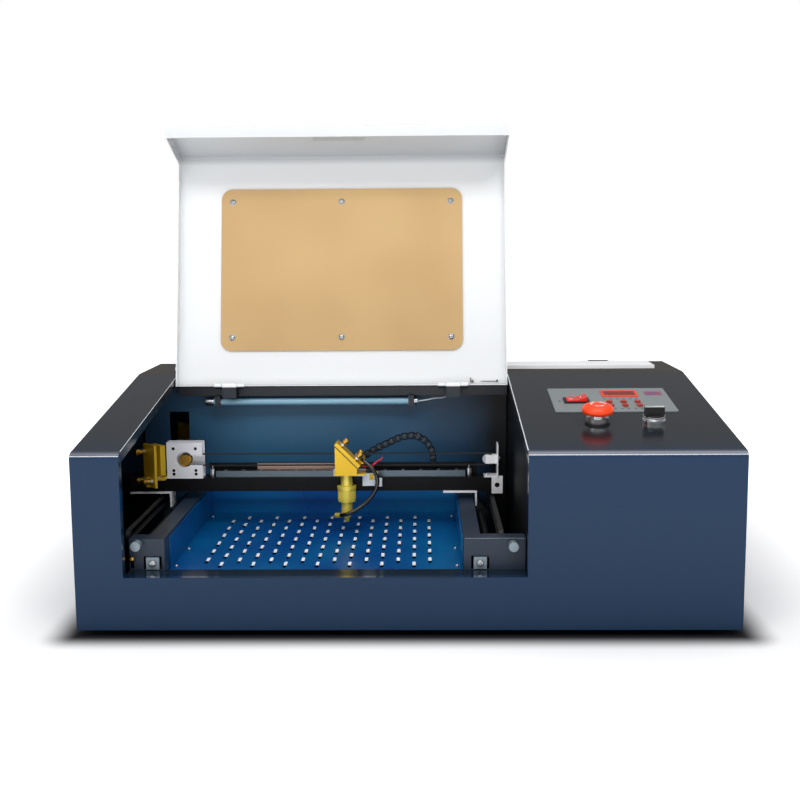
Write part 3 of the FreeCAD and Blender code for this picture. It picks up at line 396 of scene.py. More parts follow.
# Thin near-white strips along the slope's lips, the right channel's top edge and the bed's front edge are
# painted highlights.
edge_highlight_paint, tree, surface, place = finish("polished_sheet_edge", "#eef2f6", 0.3, 0.2)
grain(tree, place, surface, *plate_grain, spread=0.05)
mesh = bmesh.new()
slope = Matrix.Rotation(slope_angle, 4, "X")
for x, wide in ((142.4, 0.0012), (-341.4, 0.0007)):
    block(mesh, (0, 0.008, 0.00005), (wide, 0.349, 0.0003), 0, Matrix.Translation(at(x, 0, 216)) @ slope)
block(mesh, at(69, 34.1, 103.2), at(142, 34.4, 104.1), 0)
block(mesh, at(-120, 38.2, 60.02), at(66.5, 39.6, 60.3), 0)
piece("polished_edges", mesh, "case", edge_highlight_paint)
hinge_steel, tree, surface, place = finish("hinge_rail_paint", "#0e141c", 0.4)
grain(tree, place, surface, *powder_peel, strength=0.3)
pin_height = joints["lid_hinge"]["pos_m"][2]
leaf = share(tree, place, "Z", pin_height - 0.0012, pin_height - 0.0008)
tree.links.new(tones(tree, leaf, ((0, "#101a26"), (1, "#e9eaea"))), surface.inputs["Base Color"])
dress(hinge_steel, "lid_hinge_rail")
rubber, tree, surface, place = finish("moulded_rubber", "#141414", 0.75)
grain(tree, place, surface, 0.8, 0.05)
dress(rubber, "feet")

# --- Lid ---------------------------------------------------------------------------------------------
# A pan of folded sheet with a smooth white powder coat. Its viewing window is orange acrylic that still
# has its brown kraft masking paper on, held by six pan-head screws in plated cups.
lid_paint, tree, surface, place = finish("white_powder_coat", "#f4f5f5", 0.38, Coat_Weight=0.15,
                                         Coat_Roughness=0.2)
grain(tree, place, surface, 1.8, 0.04, spread=0.03, colours=("#f1f3f3", "#f8f8f8"), strength=0.25)
dress(lid_paint, "rear_hatch")
shell_paint, tree, surface, place = finish("white_coat_with_dark_ears", "#e2e4e5", 0.38, Coat_Weight=0.15)
grain(tree, place, surface, 1.6, 0.04, spread=0.04, strength=0.3)
ears_and_flange_shade_level = share(tree, place, "Z", pin_height - 0.001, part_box("lid_shell")[1].z)
# Near the top of the lid the base colour turns grey over its front flange: painted shade.
tree.links.new(tones(tree, ears_and_flange_shade_level, ((0, "#101a26"), (0.001, "#e2e4e5"), (0.87, "#e2e4e5"), (0.9, "#b2b5b8"),
                                 (1, "#c4c7ca"))), surface.inputs["Base Color"])
dress(shell_paint, "lid_shell")
kraft, tree, surface, place = finish("kraft_masking_paper", "#c29560", 0.82)
grain(tree, place, surface, 0.7, 0.05, colours=("#b99768", "#c3a372"), stretch=(1.0, 1.0, 0.25),
      strength=0.4)
dress(kraft, "lid_window")

lid_low, lid_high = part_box("lid_shell")
pin = Vector(joints["lid_hinge"]["pos_m"])
pin.x = (lid_low.x + lid_high.x) / 2
lid_lean_deg, lid_length = 12, 0.330
LID = Matrix.Translation(pin) @ Matrix.Rotation(math.radians(-lid_lean_deg), 4, "X")
lid_axis = LID.to_3x3()
sheet_face = 0.0115
mesh = bmesh.new()
for x in (-0.1605, 0, 0.1605):
    for z in (0.0725, 0.2735):
        spot = LID @ Vector((x, sheet_face, z))
        screw(mesh, spot, lid_axis @ Vector((0, -1, 0)), 0.0032, 0.0024)
        lathe(mesh, [(0.0046, 0), (0.0046, 0.0005), (0.0036, 0.0011), (0.0032, 0.0002)], spot,
              lid_axis @ Vector((0, -1, 0)), 16)
piece("window_screws", mesh, "lid", zinc)

FLANGE = LID @ Matrix.Translation((0, 0, lid_length)) @ Matrix.Rotation(-slope_angle, 4, "X")
mesh = bmesh.new()
block(mesh, (-0.037, -0.0815, 0.0130), (0.037, -0.044, 0.0144), 0.0004, FLANGE)
light_zinc, tree, surface, place = finish("light_zinc_plate", "#b4b7b9", 0.4, 0.2)
grain(tree, place, surface, *plate_grain, spread=0.05)
piece("handle_backing_plate", mesh, "lid", light_zinc)
mesh = bmesh.new()
for x in (-0.029, 0.029):
    screw(mesh, FLANGE @ Vector((x, -0.062, 0.0130)), FLANGE.to_3x3() @ Vector((0, 0, -1)), 0.0034, 0.0022)
piece("handle_screws", mesh, "lid", zinc)
brushed, tree, surface, place = finish("brushed_stainless_steel", "#a9acae", 0.3, 1.0)
grain(tree, place, surface, 0.4, 0.02, spread=0.06, stretch=(0.05, 1.0, 1.0))
dress(brushed, "lid_handle", "x_idler", "x_carriage")
rail_steel, tree, surface, place = finish("ground_bearing_steel", "#5d6870", 0.34, 1.0)
grain(tree, place, surface, 0.4, 0.02, spread=0.06, stretch=(0.05, 1.0, 1.0))
dress(rail_steel, "x_rail")
# Near-black steel for the Y rods, shaft and idlers: painted shade.
rod_shade_steel, tree, surface, place = finish("oiled_black_steel", "#0b0d10", 0.4, 0.5)
grain(tree, place, surface, 0.4, 0.02, spread=0.06)
dress(rod_shade_steel, "y_rods", "y_shaft", "y_idlers")

black_plastic, tree, surface, place = finish("black_abs", "#0d0d0e", 0.42)
grain(tree, place, surface, 0.9, 0.03, spread=0.05)
mesh = bmesh.new()
block(mesh, (0.1875, 0.011, 0.006), (0.1885, 0.0144, 0.012), 0.0003, LID)
block(mesh, (0.1875, 0.011, 0.006), (0.1925, 0.0144, 0.0072), 0.0003, LID)
block(mesh, (0.190, 0.011, 0.006), (0.191, 0.0144, 0.009), 0.0003, LID)
block(mesh, (0.203, 0.013, 0.0066), (0.226, 0.0144, 0.0071), 0.0002, LID)
block(mesh, (0.2255, 0.012, 0.006), (0.228, 0.0144, 0.0088), 0.0005, LID)
piece("lid_switch_clips", mesh, "lid", black_plastic)

# --- Work bed ----------------------------------------------------------------------------------------
# Perforated sheet steel with folded side walls, still in its glossy blue protective film. Each slot is
# open and dark in its near half; the near-white tongue in its far half is a painted highlight that stands
# in for the slot's lit far wall.
film, tree, surface, place = finish("blue_filmed_steel", "#0a5fa8", 0.3, 0.2, Specular_IOR_Level=0.3)
grain(tree, place, surface, 22, 0.25, spread=0.06, colours=("#00428c", "#00649a"), strength=0.2)
dress(film, "bed_plate")
# The near-white tongues stand in for the lit far wall of each slot: a painted highlight.
slot_highlight_steel, tree, surface, place = finish("sheared_bright_steel", "#f2f5f8", 0.4, 0.1)
grain(tree, place, surface, *plate_grain, spread=0.05)
pitch, slot_wide, slot_long = 0.0406, 0.0044, 0.027
first_slot_x, bed_top, tongue_gap, tongue_thick, corners = -257, 60, 0.0001, 0.0004, 8
mesh = bmesh.new()
for column in range(15):
    rows, first = (6, 94) if column % 2 == 0 else (7, 74)
    for row in range(rows):
        middle = at(first_slot_x, first, bed_top) + Vector((pitch * column / 2, pitch * row, 0))
        radius, half = slot_wide / 2 - tongue_gap, (slot_long - slot_wide) / 2
        tongue = []
        for step in range(corners + 1):
            turn = math.pi * step / corners
            tongue.append(middle + Vector((radius * math.cos(turn), half + radius * math.sin(turn), 0)))
        bent_down = len(tongue)
        tongue += [middle + Vector((-radius, 0.001, 0)), middle + Vector((radius, 0.001, 0))]
        upper = [mesh.verts.new(spot + Vector((0, 0, -0.0001))) for spot in tongue[:bent_down]]
        upper += [mesh.verts.new(spot + Vector((0, 0, -0.0009))) for spot in tongue[bent_down:]]
        lower = [mesh.verts.new(vertex.co + Vector((0, 0, -tongue_thick))) for vertex in upper]
        mesh.faces.new(upper)
        mesh.faces.new(lower[::-1])
        for index in range(len(tongue)):
            after = (index + 1) % len(tongue)
            mesh.faces.new((upper[index], lower[index], lower[after], upper[after]))
piece("pressed_slot_tongues", mesh, "case", slot_highlight_steel)
mesh = bmesh.new()
for x, y in ((-292, 70), (-292, 150), (-292, 330), (61, 70), (61, 150), (61, 330)):
    screw(mesh, at(x, y, bed_top), (0, 0, 1), 0.0026, 0.0014)
piece("bed_screws", mesh, "case", zinc)

# --- Front stops and catches ---------------------------------------------------------------------------
# Turned steel stops and pressed catch blocks that the front panel closes on. They are plated, and a
# brass pan-head screw clamps the left one's slide.
brass, tree, surface, place = finish("turned_brass", "#c79a45", 0.26, 1.0)
grain(tree, place, surface, 0.6, 0.02, spread=0.06)
mesh = bmesh.new()
for x, z in ((-331, 97.5), (128, 96)):
    lathe(mesh, [(0, 0.0003), (0.0042, 0.0003), (0.0055, 0.0001), (0.006, -0.0006), (0.006, -0.002)],
          at(x, 22, z), (0, -1, 0), 28)
dull_zinc, tree, surface, place = finish("dull_zinc_plate", "#7f8d96", 0.45, 0.5)
grain(tree, place, surface, *plate_grain, spread=0.06)
dress(dull_zinc, "door_catches")
piece("stop_faces", mesh, "case", dull_zinc)
mesh = bmesh.new()
screw(mesh, at(-338, 30, 80), (0, -1, 0), 0.0034, 0.002)
piece("slide_screw", mesh, "case", brass)
mesh = bmesh.new()
for x in (-313, 88):
    screw(mesh, at(x, 31, 73.5), (0, -1, 0), 0.0042, 0.0022)
piece("catch_screws", mesh, "case", zinc)

# --- Gantry --------------------------------------------------------------------------------------------
# A black anodised aluminium beam carries a ground steel rail, white plated brackets, the motor and a
# toothed rubber belt.
anodised, tree, surface, place = finish("black_anodised_aluminium", "#050507", 0.42, 0.3,
                                        Specular_IOR_Level=0.25)
grain(tree, place, surface, *plate_grain, spread=0.05, stretch=(0.1, 1.0, 1.0))
dress(anodised, "gantry_beam", "x_motor", "y_motor")
white_plate, tree, surface, place = finish("white_zinc_plate", "#e6e7ea", 0.36, 0.35)
grain(tree, place, surface, 1.2, 0.03, spread=0.06, colours=("#dcdee3", "#f2f2f4"))
dress(white_plate, "gantry_plates")
bearing_steel, tree, surface, place = finish("zinc_leg_and_black_bearing", "#e6e7ea", 0.36, 0.2)
grain(tree, place, surface, 1.2, 0.03, spread=0.06)
shell_top = under + 0.084 + 0.0104
leg = share(tree, place, "Z", shell_top, shell_top + 0.0004)
tree.links.new(tones(tree, leg, ((0, "#15171a"), (1, "#e9eaee"))), surface.inputs["Base Color"])
dress(bearing_steel, "gantry_bearings")
dress(brass, "x_pulley", "water_fittings")

rail_y, rail_screw_gap = 260, 25
mesh = bmesh.new()
for number in range(14):
    lathe(mesh, [(0.0031, 0.0), (0.0031, 0.0005), (0.002, 0.0005), (0.0017, -0.0004), (0, -0.0004)],
          at(-259 + rail_screw_gap * number, rail_y, 144), (0, 0, 1), 14)
piece("rail_screws", mesh, "gantry", zinc)
mesh = bmesh.new()
for x in (-277.5, 83.5):
    lathe(mesh, [(0.0035, 0), (0.0037, 0.0006), (0.0037, 0.011), (0.003, 0.0125), (0.0012, 0.0128),
                 (0.001, 0.0165), (0, 0.017)], at(x, rail_y, 135), (0, 0, 1), 18)
piece("rail_end_stops", mesh, "gantry", zinc)
mesh, dark = bmesh.new(), bmesh.new()
for x in (-15.5, 15.5):
    for z in (-15.5, 15.5, -20.5):
        screw(dark, at(-314 + x, 246.2, 162 + z), (0, -1, 0), 0.0022, 0.0008)
for x in (-380, -352, 62, 80):
    screw(mesh, at(x, 262, 113.6), (0, 0, -1), 0.003, 0.002)
screw(mesh, at(108, 255, 137), (0, 0, 1), 0.003, 0.002)
screw(mesh, at(123.5, 257, 160), (1, 0, 0), 0.003, 0.004)
piece("bracket_screws", mesh, "gantry", zinc)
piece("motor_screws", dark, "gantry", anodised)

belt_rubber, tree, surface, place = finish("toothed_neoprene_belt", "#131415", 0.6)
grain(tree, place, surface, 0.8, 0.04)
dress(belt_rubber, "y_belts")
belt_low, belt_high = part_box("x_belt")
belt_mid = (belt_low + belt_high) / 2
outer = (belt_high.z - belt_low.z) / 2
inner = outer - 0.0009
left_end, right_end = belt_low.x + outer, belt_high.x - outer
mesh = bmesh.new()
band = []
for radius in (outer, inner):
    ring = []
    for end, start in ((right_end, -90), (left_end, 90)):
        for step in range(13):
            turn = math.radians(start + 15 * step)
            ring.append(mesh.verts.new((end + radius * math.cos(turn), belt_low.y,
                                        belt_mid.z + radius * math.sin(turn))))
    band.append(ring)
for number in range(len(band[0])):
    after = (number + 1) % len(band[0])
    mesh.faces.new((band[0][number], band[0][after], band[1][after], band[1][number]))
made = bmesh.ops.extrude_face_region(mesh, geom=list(mesh.faces))
width = belt_high.y - belt_low.y
bmesh.ops.translate(mesh, verts=[v for v in made["geom"] if isinstance(v, bmesh.types.BMVert)],
                    vec=(0, width, 0))
tooth_pitch, tooth_wide, tooth_deep = 0.002, 0.001, 0.0005
tooth = left_end
while tooth < right_end:
    for side in (-1, 1):
        edge = belt_mid.z + side * inner
        block(mesh, (tooth, belt_low.y, min(edge, edge - side * tooth_deep)),
              (tooth + tooth_wide, belt_high.y, max(edge, edge - side * tooth_deep)), 0)
    tooth += tooth_pitch
belt = piece("x_belt_toothed", mesh, "gantry", belt_rubber)
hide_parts("x_belt")

ribbon_film, tree, surface, place = finish("polyester_ribbon_cable", "#c9a08c", 0.4)
stripes = add(tree, "TexWave", {"Vector": place, "Scale": 160.0}, wave_type="BANDS", bands_direction="Z")
tree.links.new(tones(tree, stripes.outputs["Fac"], ((0, "#b58a76"), (1, "#e2c7b8"))),
               surface.inputs["Base Color"])
mesh = bmesh.new()
block(mesh, (-0.216, front + 0.2724, under + 0.1425), (-0.104, front + 0.2731, under + 0.1512), 0.0002)
piece("ribbon_cable", mesh, "gantry", ribbon_film)

# --- Side mirror ---------------------------------------------------------------------------------------
# A gold anodised mount turned 45 degrees, with three knurled brass screws on steel springs that tilt
# its silicon mirror.
gold, tree, surface, place = finish("gold_anodised_aluminium", "#dcb020", 0.32, 0.45)
grain(tree, place, surface, *plate_grain, spread=0.05, colours=("#d2a516", "#e0b82c"))
dress(gold, "side_mirror", "corner_mirror", "head_body")
lens_gold, tree, surface, place = finish("pale_gold_aluminium", "#e2cc50", 0.25, 0.35)
grain(tree, place, surface, *plate_grain, spread=0.05, colours=("#dcc440", "#e8d868"))
dress(lens_gold, "lens_tube")
SIDE = Matrix.Translation(at(-362, 237, 125)) @ Matrix.Rotation(math.radians(-45), 4, "Z")
side_axis = SIDE.to_3x3()


def coil(name, start, along, radius, wire, length, turns, body, material, steps=12):
    """A helical spring."""
    where, count, spots = facing(start, along), turns * steps, []
    for step in range(count + 1):
        angle = 2 * math.pi * step / steps
        spots.append(where @ Vector((radius * math.cos(angle), radius * math.sin(angle),
                                     length * step / count)))
    return placed(name, swept(name, spots, wire, 2), body, material)


mesh, nuts = bmesh.new(), bmesh.new()
for number, (x, z) in enumerate(((-0.009, 0.010), (0.009, 0.010), (-0.009, 0.050))):
    head = SIDE @ Vector((x, -0.016, z))
    out = side_axis @ Vector((0, -1, 0))
    lathe(mesh, [(0.0042, -0.0058), (0.0044, -0.005), (0.0044, 0.0), (0.0038, 0.0008), (0, 0.0008)],
          head, out, 24)
    lathe(nuts, [(0.0021, 0), (0.0042, 0), (0.0042, 0.0028), (0.0021, 0.0028)],
          SIDE @ Vector((x, -0.003, z)), out, 6)
    coil(f"side_spring_{number + 1}", SIDE @ Vector((x, 0.0042, z + 0.003)), -out, 0.003, 0.0004, 0.0066, 4,
         "gantry", zinc)
piece("side_mirror_screws", mesh, "gantry", brass)
piece("side_mirror_nuts", nuts, "gantry", zinc, 20)
mirror_glass, tree, surface, place = finish("polished_silicon_mirror", "#c9b48a", 0.06, 1.0)
grain(tree, place, surface, 3.0, 0.005, strength=0.1)
mesh = bmesh.new()
lathe(mesh, [(0.0095, 0), (0.01, 0.0004), (0.0095, 0.0008), (0, 0.0008)], SIDE @ Vector((0, 0.0188, 0.037)),
      side_axis @ Vector((0, 1, 0)), 28)
piece("side_mirror_face", mesh, "gantry", mirror_glass)

# --- Laser head ----------------------------------------------------------------------------------------
# Gold anodised prism with its mirror plate on three nutted screws, above a brass-coloured lens tube
# with a knurled clamp ring, a fine nozzle and a fitting for the assist air.
head_y, slant_x, slant_z = 236, -98, 185
screw_dirs = Vector((1, 0, 1)).normalized()
mesh, nuts = bmesh.new(), bmesh.new()
for down, y in ((3, -9), (22, -9), (22, 9)):
    base = at(slant_x + down, head_y + y, slant_z - down)
    lathe(mesh, [(0.0036, 0.0078), (0.0039, 0.0085), (0.0039, 0.014), (0.0034, 0.0151), (0, 0.0153)], base,
          screw_dirs, 24)
    lathe(nuts, [(0.0021, 0.0045), (0.004, 0.0045), (0.004, 0.0068), (0.0021, 0.0068)], base, screw_dirs, 6)
piece("head_mirror_screws", mesh, "head", brass)
piece("head_mirror_nuts", nuts, "head", zinc, 20)
nozzle = at(-87, head_y, 0)
mesh = bmesh.new()
knurl(mesh, Matrix.Translation(nozzle), 40, (0.0119, -0.0005, 0.108), (0.0125, 0.0005, 0.1205))
lathe(mesh, [(0.0121, 0.1215), (0.0134, 0.122), (0.0134, 0.1265), (0.0122, 0.127), (0.0084, 0.127)],
      nozzle, (0, 0, 1), 36)
piece("knurled_clamp_ring", mesh, "lens", lens_gold)
mesh = bmesh.new()
lathe(mesh, [(0.0016, 0.0755), (0.0026, 0.0757), (0.0032, 0.078), (0.0032, 0.0805), (0.0079, 0.088),
             (0.0079, 0.0915)], nozzle, (0, 0, 1), 28)
piece("nozzle_cone", mesh, "lens", lens_gold)
mesh = bmesh.new()
# A thin black strip along the mirror plate's lower edge stands in for the dark gap line: painted shade.
gap_shade_frame = Matrix.Translation(at(-87, 221.8, 169)) @ Matrix.Rotation(math.radians(45), 4, "Y")
block(mesh, (-0.0213, -0.0001, -0.0006), (0.0213, 0.0002, 0.0006), 0, gap_shade_frame)
piece("mirror_plate_gasket", mesh, "head", black_plastic)
mesh = bmesh.new()
lathe(mesh, [(0.0027, 0), (0.0036, 0.0004), (0.0036, 0.0045), (0.0027, 0.005)], at(-99, 235, 84.5),
      (1, 0, 0), 6)
piece("air_fitting_nut", mesh, "lens", brass, 20)
white_plastic, tree, surface, place = finish("white_nylon", "#cfd6da", 0.35)
grain(tree, place, surface, 1.0, 0.03, spread=0.04)
dress(white_plastic, "limit_switch")
yellow, tree, surface, place = finish("yellow_nylon", "#d8b400", 0.4)
grain(tree, place, surface, 1.0, 0.03)
mesh = bmesh.new()
block(mesh, (-0.0475, front + 0.2365, under + 0.1362), (-0.0435, front + 0.2412, under + 0.146), 0.0005)
block(mesh, (-0.0555, front + 0.2358, under + 0.1345), (-0.0495, front + 0.2365, under + 0.1425), 0.0002)
piece("switch_tabs", mesh, "head", yellow)


def cable(name, points, radius, material, body=None):
    """A round flexible piece on one smooth line through a route."""
    return placed(name, swept(name, points, radius, 3, 8, True), body, material)


hose_rubber, tree, surface, place = finish("black_polyurethane_hose", "#08080a", 0.22, Coat_Weight=0.3)
grain(tree, place, surface, 2.0, 0.03)
hose = cable("air_hose_smooth", [at(x, head_y + y, z) for x, y, z in (
    (-66, 0, 164), (-56, -6, 157), (-46, -9, 146), (-43, -10, 133), (-48, -11, 118), (-58, -12, 106),
    (-71, -15, 96), (-88.1, -17.4, 88.4), (-95.3, -8.6, 86.3))], 0.0028, hose_rubber)
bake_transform(hose)
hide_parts("air_hose")
red_wire, tree, surface, place = finish("red_pvc_wire", "#c4101c", 0.35)
grain(tree, place, surface, 1.0, 0.02)
for number, route in enumerate((
    ((-66, 240, 153), (-58, 239, 152), (-52, 239, 155), (-44, 240, 160), (-38, 242, 163)),
    ((-50, 240, 148), (-51, 238, 152), (-49, 239, 156), (-43, 241, 159), (-37, 243, 165)),
)):
    cable(f"switch_wire_{number + 1}", [at(*point) for point in route], 0.0009, red_wire, "head")

# --- Cable chain ---------------------------------------------------------------------------------------
# Thirteen snap-together black nylon links, each with two side plates, their pins and two bars across,
# which arch from the head's arm to the beam.
chain_nylon, tree, surface, place = finish("black_nylon_chain", "#16242f", 0.4)
grain(tree, place, surface, 0.9, 0.03, spread=0.05)
chain_y = 270
line = swept("chain_line", [at(x, chain_y, z) for x, z in (
    (-62, 163.4), (-49, 172), (-33, 179), (-14, 188.4), (4.8, 192), (18, 188), (28, 178), (33.7, 166),
    (33.3, 152.6))], line_steps=16)
spots = [vertex.co.copy() for vertex in line.vertices]
lengths = [0.0]
for before, after in zip(spots, spots[1:]):
    lengths.append(lengths[-1] + (after - before).length)
links = 13
mesh = bmesh.new()
for number in range(links):
    ends = []
    for share in (number / links, (number + 1) / links):
        reach = share * lengths[-1]
        index = max(i for i, length in enumerate(lengths[:-1]) if length <= reach)
        part = (reach - lengths[index]) / (lengths[index + 1] - lengths[index])
        ends.append(spots[index].lerp(spots[index + 1], part))
    run = ends[1] - ends[0]
    angle = math.atan2(run.z, run.x)
    link = Matrix.Translation(ends[0]) @ Matrix.Rotation(-angle, 4, "Y")
    size = run.length
    for side in (-1, 1):
        near = side * 0.0045
        block(mesh, (-0.001, near - 0.0008, -0.0046), (size * 0.72, near + 0.0008, 0.0046), 0.002, link, 3)
        block(mesh, (size * 0.5, near - side * 0.0012 - 0.0005, -0.0034),
              (size + 0.0022, near - side * 0.0012 + 0.0005, 0.0034), 0.0016, link, 3)
        lathe(mesh, [(0.0024, -0.0002), (0.0024, 0.0009), (0.0018, 0.0012), (0, 0.0012)],
              link @ Vector((size * 0.32, near + side * 0.0006, 0)), (0, side, 0), 14)
    block(mesh, (size * 0.15, -0.0045, 0.0036), (size * 0.55, 0.0045, 0.0046), 0.0004, link)
    block(mesh, (size * 0.15, -0.0045, -0.0046), (size * 0.55, 0.0045, -0.0036), 0.0004, link)
chain = piece("cable_chain", mesh, None, chain_nylon)
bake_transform(chain)
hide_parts("drag_chain")

# --- Lamp ----------------------------------------------------------------------------------------------
# A frosted tube lamp under the hinge rail, with plain end caps and its lead.
frosted, tree, surface, place = finish("frosted_lamp_glass", "#86b3c8", 0.2, Coat_Weight=0.4)
grain(tree, place, surface, 1.5, 0.02)
dress(frosted, "lamp_tube")
mesh = bmesh.new()
for x in (-301, -1):
    lathe(mesh, [(0.0051, 0), (0.0055, 0.0006), (0.0055, 0.012), (0.005, 0.0126), (0, 0.0126)],
          at(x, 347, 229), (1, 0, 0), 20)
piece("lamp_caps", mesh, "case", zinc)
cable("lamp_lead", [at(*p) for p in ((11, 347, 229), (22, 347, 230), (36, 349, 233), (50, 352, 233),
                                     (58, 356, 236))], 0.0011, white_plastic, "case")

# --- Control label ---------------------------------------------------------------------------------------
# A printed grey polyester label with an orange-framed window of unlit digits, six red keys, and plain
# marks where it has small print. Its badge is a plain patch.
label_film, tree, surface, place = finish("grey_polyester_label", "#7f8686", 0.35)
grain(tree, place, surface, 1.2, 0.02, spread=0.04, colours=("#7b8282", "#848b8b"))
dress(label_film, "control_label")
out = Vector(joints["selector_turn"]["axis"])
uphill = out.cross(Vector((1, 0, 0)))
dial = Vector(joints["selector_turn"]["pos_m"]) - out * 0.005
dial_place = Vector((0.3114, 0.1174, 0))
PANEL = Matrix.Translation(dial) @ Matrix.Rotation(math.atan2(uphill.z, uphill.y), 4, "X") \
    @ Matrix.Translation(-dial_place)
panel_out = PANEL.to_3x3() @ Vector((0, 0, 1))


def marks(name, blocks, body, material, soft=0.0001):
    """Low printed or inlaid shapes on the panel, in its own millimetres."""
    mesh = bmesh.new()
    for low, high in blocks:
        block(mesh, [value / 1000 for value in low], [value / 1000 for value in high], soft, PANEL, 1)
    return piece(name, mesh, body, material)


orange_print, tree, surface, place = finish("orange_display_frame", "#f0400e", 0.4)
grain(tree, place, surface, 1.0, 0.02)
marks("display_frame", [((262.5, 225, 1.2), (311.5, 229, 2.6)), ((262.5, 248.5, 1.2), (311.5, 252.5, 2.6)),
                        ((262.5, 229, 1.2), (266, 248.5, 2.6)), ((308, 229, 1.2), (311.5, 248.5, 2.6))],
      "case", orange_print, 0.0003)
display_glass, tree, surface, place = finish("dark_red_display_window", "#7c1206", 0.3)
grain(tree, place, surface, 4.0, 0.01)
marks("display_window", [((265, 228, 2.0), (309, 250, 2.35))], "case", display_glass)
digit_red, tree, surface, place = finish("unlit_digit_segments", "#8e1a0a", 0.4)
grain(tree, place, surface, *print_grain)
segments = []
for number in range(4):
    x = 271 + 9.2 * number
    for s in (232.5, 238.5, 244.5):
        segments.append(((x, s, 2.3), (x + 5, s + 1.1, 2.45)))
    for s in (233.5, 239.5):
        segments.append(((x - 0.6, s, 2.3), (x + 0.5, s + 5, 2.45)))
        segments.append(((x + 4.5, s, 2.3), (x + 5.6, s + 5, 2.45)))
marks("display_digits", segments, "case", digit_red, 0)
ink, tree, surface, place = finish("dark_label_ink", "#2b2f31", 0.5)
grain(tree, place, surface, *print_grain)
ink_low, ink_high = 1.15, 1.28
prints = [((201, 203, ink_low), (203.5, 208, ink_high))]
for count, first, gap, wide, rows in ((6, 262, 8.6, 4, ((214, 216.5),)), (6, 262, 8.6, 3, ((169, 172),)),
                                      (3, 264.5, 18.8, 7, ((190.6, 192), (175.6, 176.8)))):
    for number in range(count):
        x = first + gap * number
        prints += [((x, low, ink_low), (x + wide, high, ink_high)) for low, high in rows]
marks("label_legends", prints, "case", ink, 0)
badge, tree, surface, place = finish("printed_badge_ink", "#5a4a78", 0.4)
checks = add(tree, "TexVoronoi", {"Vector": place, "Scale": 160.0})
tree.links.new(tones(tree, checks.outputs["Distance"], ((0, "#b03a44"), (1, "#3a4c80"))),
               surface.inputs["Base Color"])
marks("plain_badge", [((322, 232, 1.15), (345, 250, 1.3))], "case", badge, 0)
key_red, tree, surface, place = finish("red_key_caps", "#a8301e", 0.4)
grain(tree, place, surface, 1.2, 0.02)
dress(key_red, *[f"button_{number}" for number in range(1, 7)])

# --- Switches --------------------------------------------------------------------------------------------
# The emergency stop is a glossy red mushroom on a chrome collar and black seat, the selector a black
# bar on a chrome ring, and the main switch a red rocker in a black frame.
stop_red, tree, surface, place = finish("glossy_red_abs", "#fa4200", 0.3)
grain(tree, place, surface, 2.2, 0.02, spread=0.03)
chrome, tree, surface, place = finish("chrome_plate", "#d6d8da", 0.07, 1.0)
grain(tree, place, surface, 2.0, 0.004, strength=0.1)
dress(chrome, "estop_base", "selector_base", "estop_stem")
STOP = PANEL @ Matrix.Translation((0.2395, 0.1133, 0))
mesh = bmesh.new()
lathe(mesh, [(0.0079, 0.0125), (0.0165, 0.0127), (0.0188, 0.0139), (0.0199, 0.0157), (0.02, 0.0179),
             (0.0193, 0.0205), (0.0172, 0.0229), (0.014, 0.0244), (0.0095, 0.025), (0, 0.025)],
      STOP.translation, panel_out, 48)
cap = piece("stop_mushroom", mesh, "estop_cap", stop_red, 60)
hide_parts("estop_cap")
arrow_white, tree, surface, place = finish("white_pad_print", "#efe6e2", 0.4)
grain(tree, place, surface, *print_grain)
mesh = bmesh.new()
for number in range(3):
    turn = Matrix.Rotation(2 * math.pi * number / 3, 4, "Z")
    for step in range(5):
        bend = turn @ Matrix.Rotation(0.2 * step, 4, "Z")
        block(mesh, (0.0078, -0.0009, 0.0249), (0.0092, 0.0009, 0.02515), 0, STOP @ bend)
    head = STOP @ turn @ Matrix.Rotation(1.05, 4, "Z") @ Matrix.Translation((0.0085, 0, 0.0250))
    bmesh.ops.create_cone(mesh, segments=3, radius1=0.0026, radius2=0.0026, depth=0.0003, cap_ends=True,
                          matrix=head @ Matrix.Rotation(math.pi / 2, 4, "Z"))
piece("stop_arrows", mesh, "estop_cap", arrow_white)
mesh = bmesh.new()
lathe(mesh, [(0.0145, 0.0002), (0.0158, 0.0002), (0.0158, 0.0022), (0.0152, 0.003), (0.0142, 0.0031)],
      STOP.translation, panel_out, 40)
piece("stop_seat", mesh, "case", black_plastic)
dress(black_plastic, "selector_knob", "rocker_frame", "tube_cradles", "mains_inlet", "fan_housing",
      "fan_impeller")
DIAL = PANEL @ Matrix.Translation(dial_place)
mesh = bmesh.new()
lathe(mesh, [(0.0114, 0.0042), (0.0122, 0.0042), (0.0142, 0.0084), (0.0141, 0.0088), (0.0116, 0.0088),
             (0.0114, 0.0084)], DIAL.translation, panel_out, 40)
piece("selector_flare", mesh, "case", chrome)
mesh = bmesh.new()
block(mesh, (-0.0121, -0.0032, 0.0199), (0.0121, 0.0032, 0.0201), 0.0001, DIAL)
piece("selector_top_plate", mesh, "selector", light_zinc)
mesh = bmesh.new()
knurl(mesh, DIAL, 32, (0.0141, -0.0006, 0.0006), (0.0148, 0.0006, 0.0038))
piece("selector_ring_knurl", mesh, "case", chrome)
mesh = bmesh.new()
block(mesh, (-0.0008, 0.0008, 0.0200), (0.0122, -0.0008, 0.02015), 0, DIAL)
piece("selector_pointer", mesh, "selector", arrow_white)
rocker_red, tree, surface, place = finish("red_rocker_polycarbonate", "#e8281a", 0.2, Coat_Weight=0.4)
grain(tree, place, surface, 2.0, 0.02)
dress(rocker_red, "rocker_key")
ROCKER = PANEL @ Matrix.Translation((0.225, 0.2064, 0.0012))
mesh = bmesh.new()
lean = Matrix.Rotation(-math.atan2(4.1, 13.2), 4, "Y")
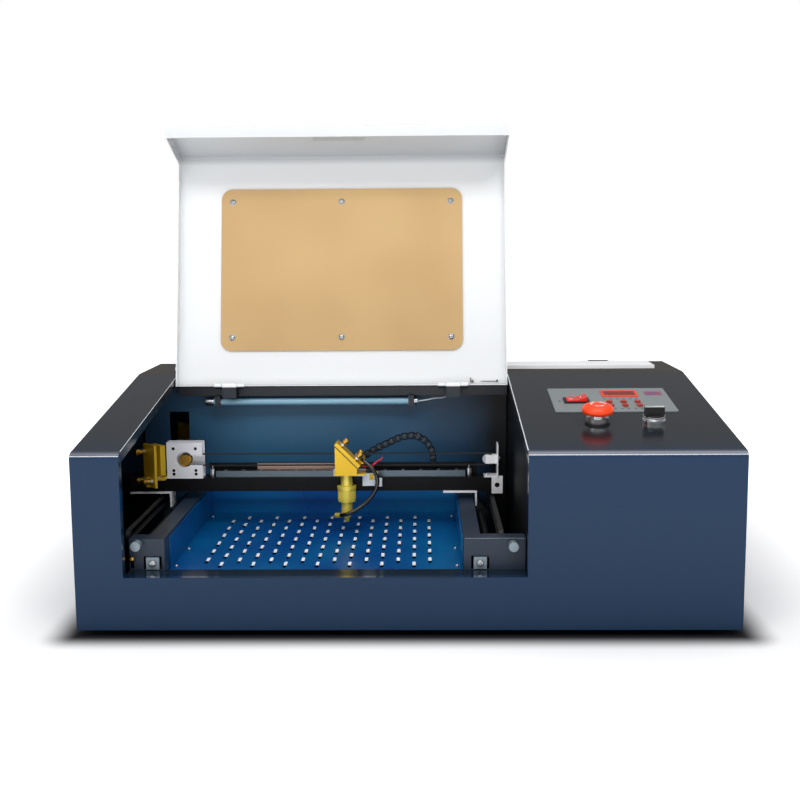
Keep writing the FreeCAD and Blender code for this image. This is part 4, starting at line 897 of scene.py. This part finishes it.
block(mesh, (0.0062, -0.003, 0.0033), (0.0070, 0.003, 0.0037), 0, ROCKER @ lean)
lathe(mesh, [(0.0016, 0), (0.0024, 0), (0.0024, 0.0002), (0.0016, 0.0002)],
      ROCKER @ Vector((-0.0075, 0, 0.0031)), panel_out, 20)
piece("rocker_marks", mesh, "rocker", arrow_white)

# --- Inside the bays and on the back ---------------------------------------------------------------------
# The sealed glass laser tube lies under the rear hatch; supply and board stand in the right bay. The
# back carries the fan's duct spigot, brass water fittings and the mains inlet.
clear, tree, surface, place = finish("borosilicate_glass", "#e9f2f4", 0.05, Transmission_Weight=0.92)
grain(tree, place, surface, 30.0, 0.02, strength=0.1)
dress(clear, "laser_tube")
dress(zinc, "electronics")
tube_low, tube_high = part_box("laser_tube")
tube_mid = (tube_low + tube_high) / 2
mesh = bmesh.new()
for end, out_x in ((tube_low.x, 1), (tube_high.x, -1)):
    lathe(mesh, [(0.0095, 0.0002), (0.0098, 0.010), (0.006, 0.012), (0.006, 0.0002)],
          Vector((end, tube_mid.y, tube_mid.z)), (out_x, 0, 0), 28)
piece("tube_end_mirrors", mesh, "case", brass)
fan_low, fan_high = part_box("fan_housing")
fan_mid = (fan_low + fan_high) / 2
mesh = bmesh.new()
for radius in (0.012, 0.021, 0.030, 0.039):
    lathe(mesh, [(radius - 0.0009, 0), (radius, 0.0009), (radius + 0.0009, 0), (radius, -0.0009),
                 (radius - 0.0009, 0)], Vector((fan_mid.x, fan_high.y - 0.0025, fan_mid.z)), (0, 1, 0), 40)
for number in range(4):
    arm = Matrix.Translation((fan_mid.x, fan_high.y - 0.004, fan_mid.z)) \
        @ Matrix.Rotation(math.pi / 4 * (2 * number + 1), 4, "Y")
    block(mesh, (-0.0008, -0.0008, 0.0), (0.0008, 0.0008, 0.0482), 0.0003, arm)
piece("fan_guard", mesh, "case", zinc)
mesh = bmesh.new()
for x in (-47, 47):
    for z in (-47, 47):
        screw(mesh, Vector((fan_mid.x + x / 1000, front + 0.518, fan_mid.z + z / 1000)), (0, 1, 0))
piece("fan_screws", mesh, "case", zinc)
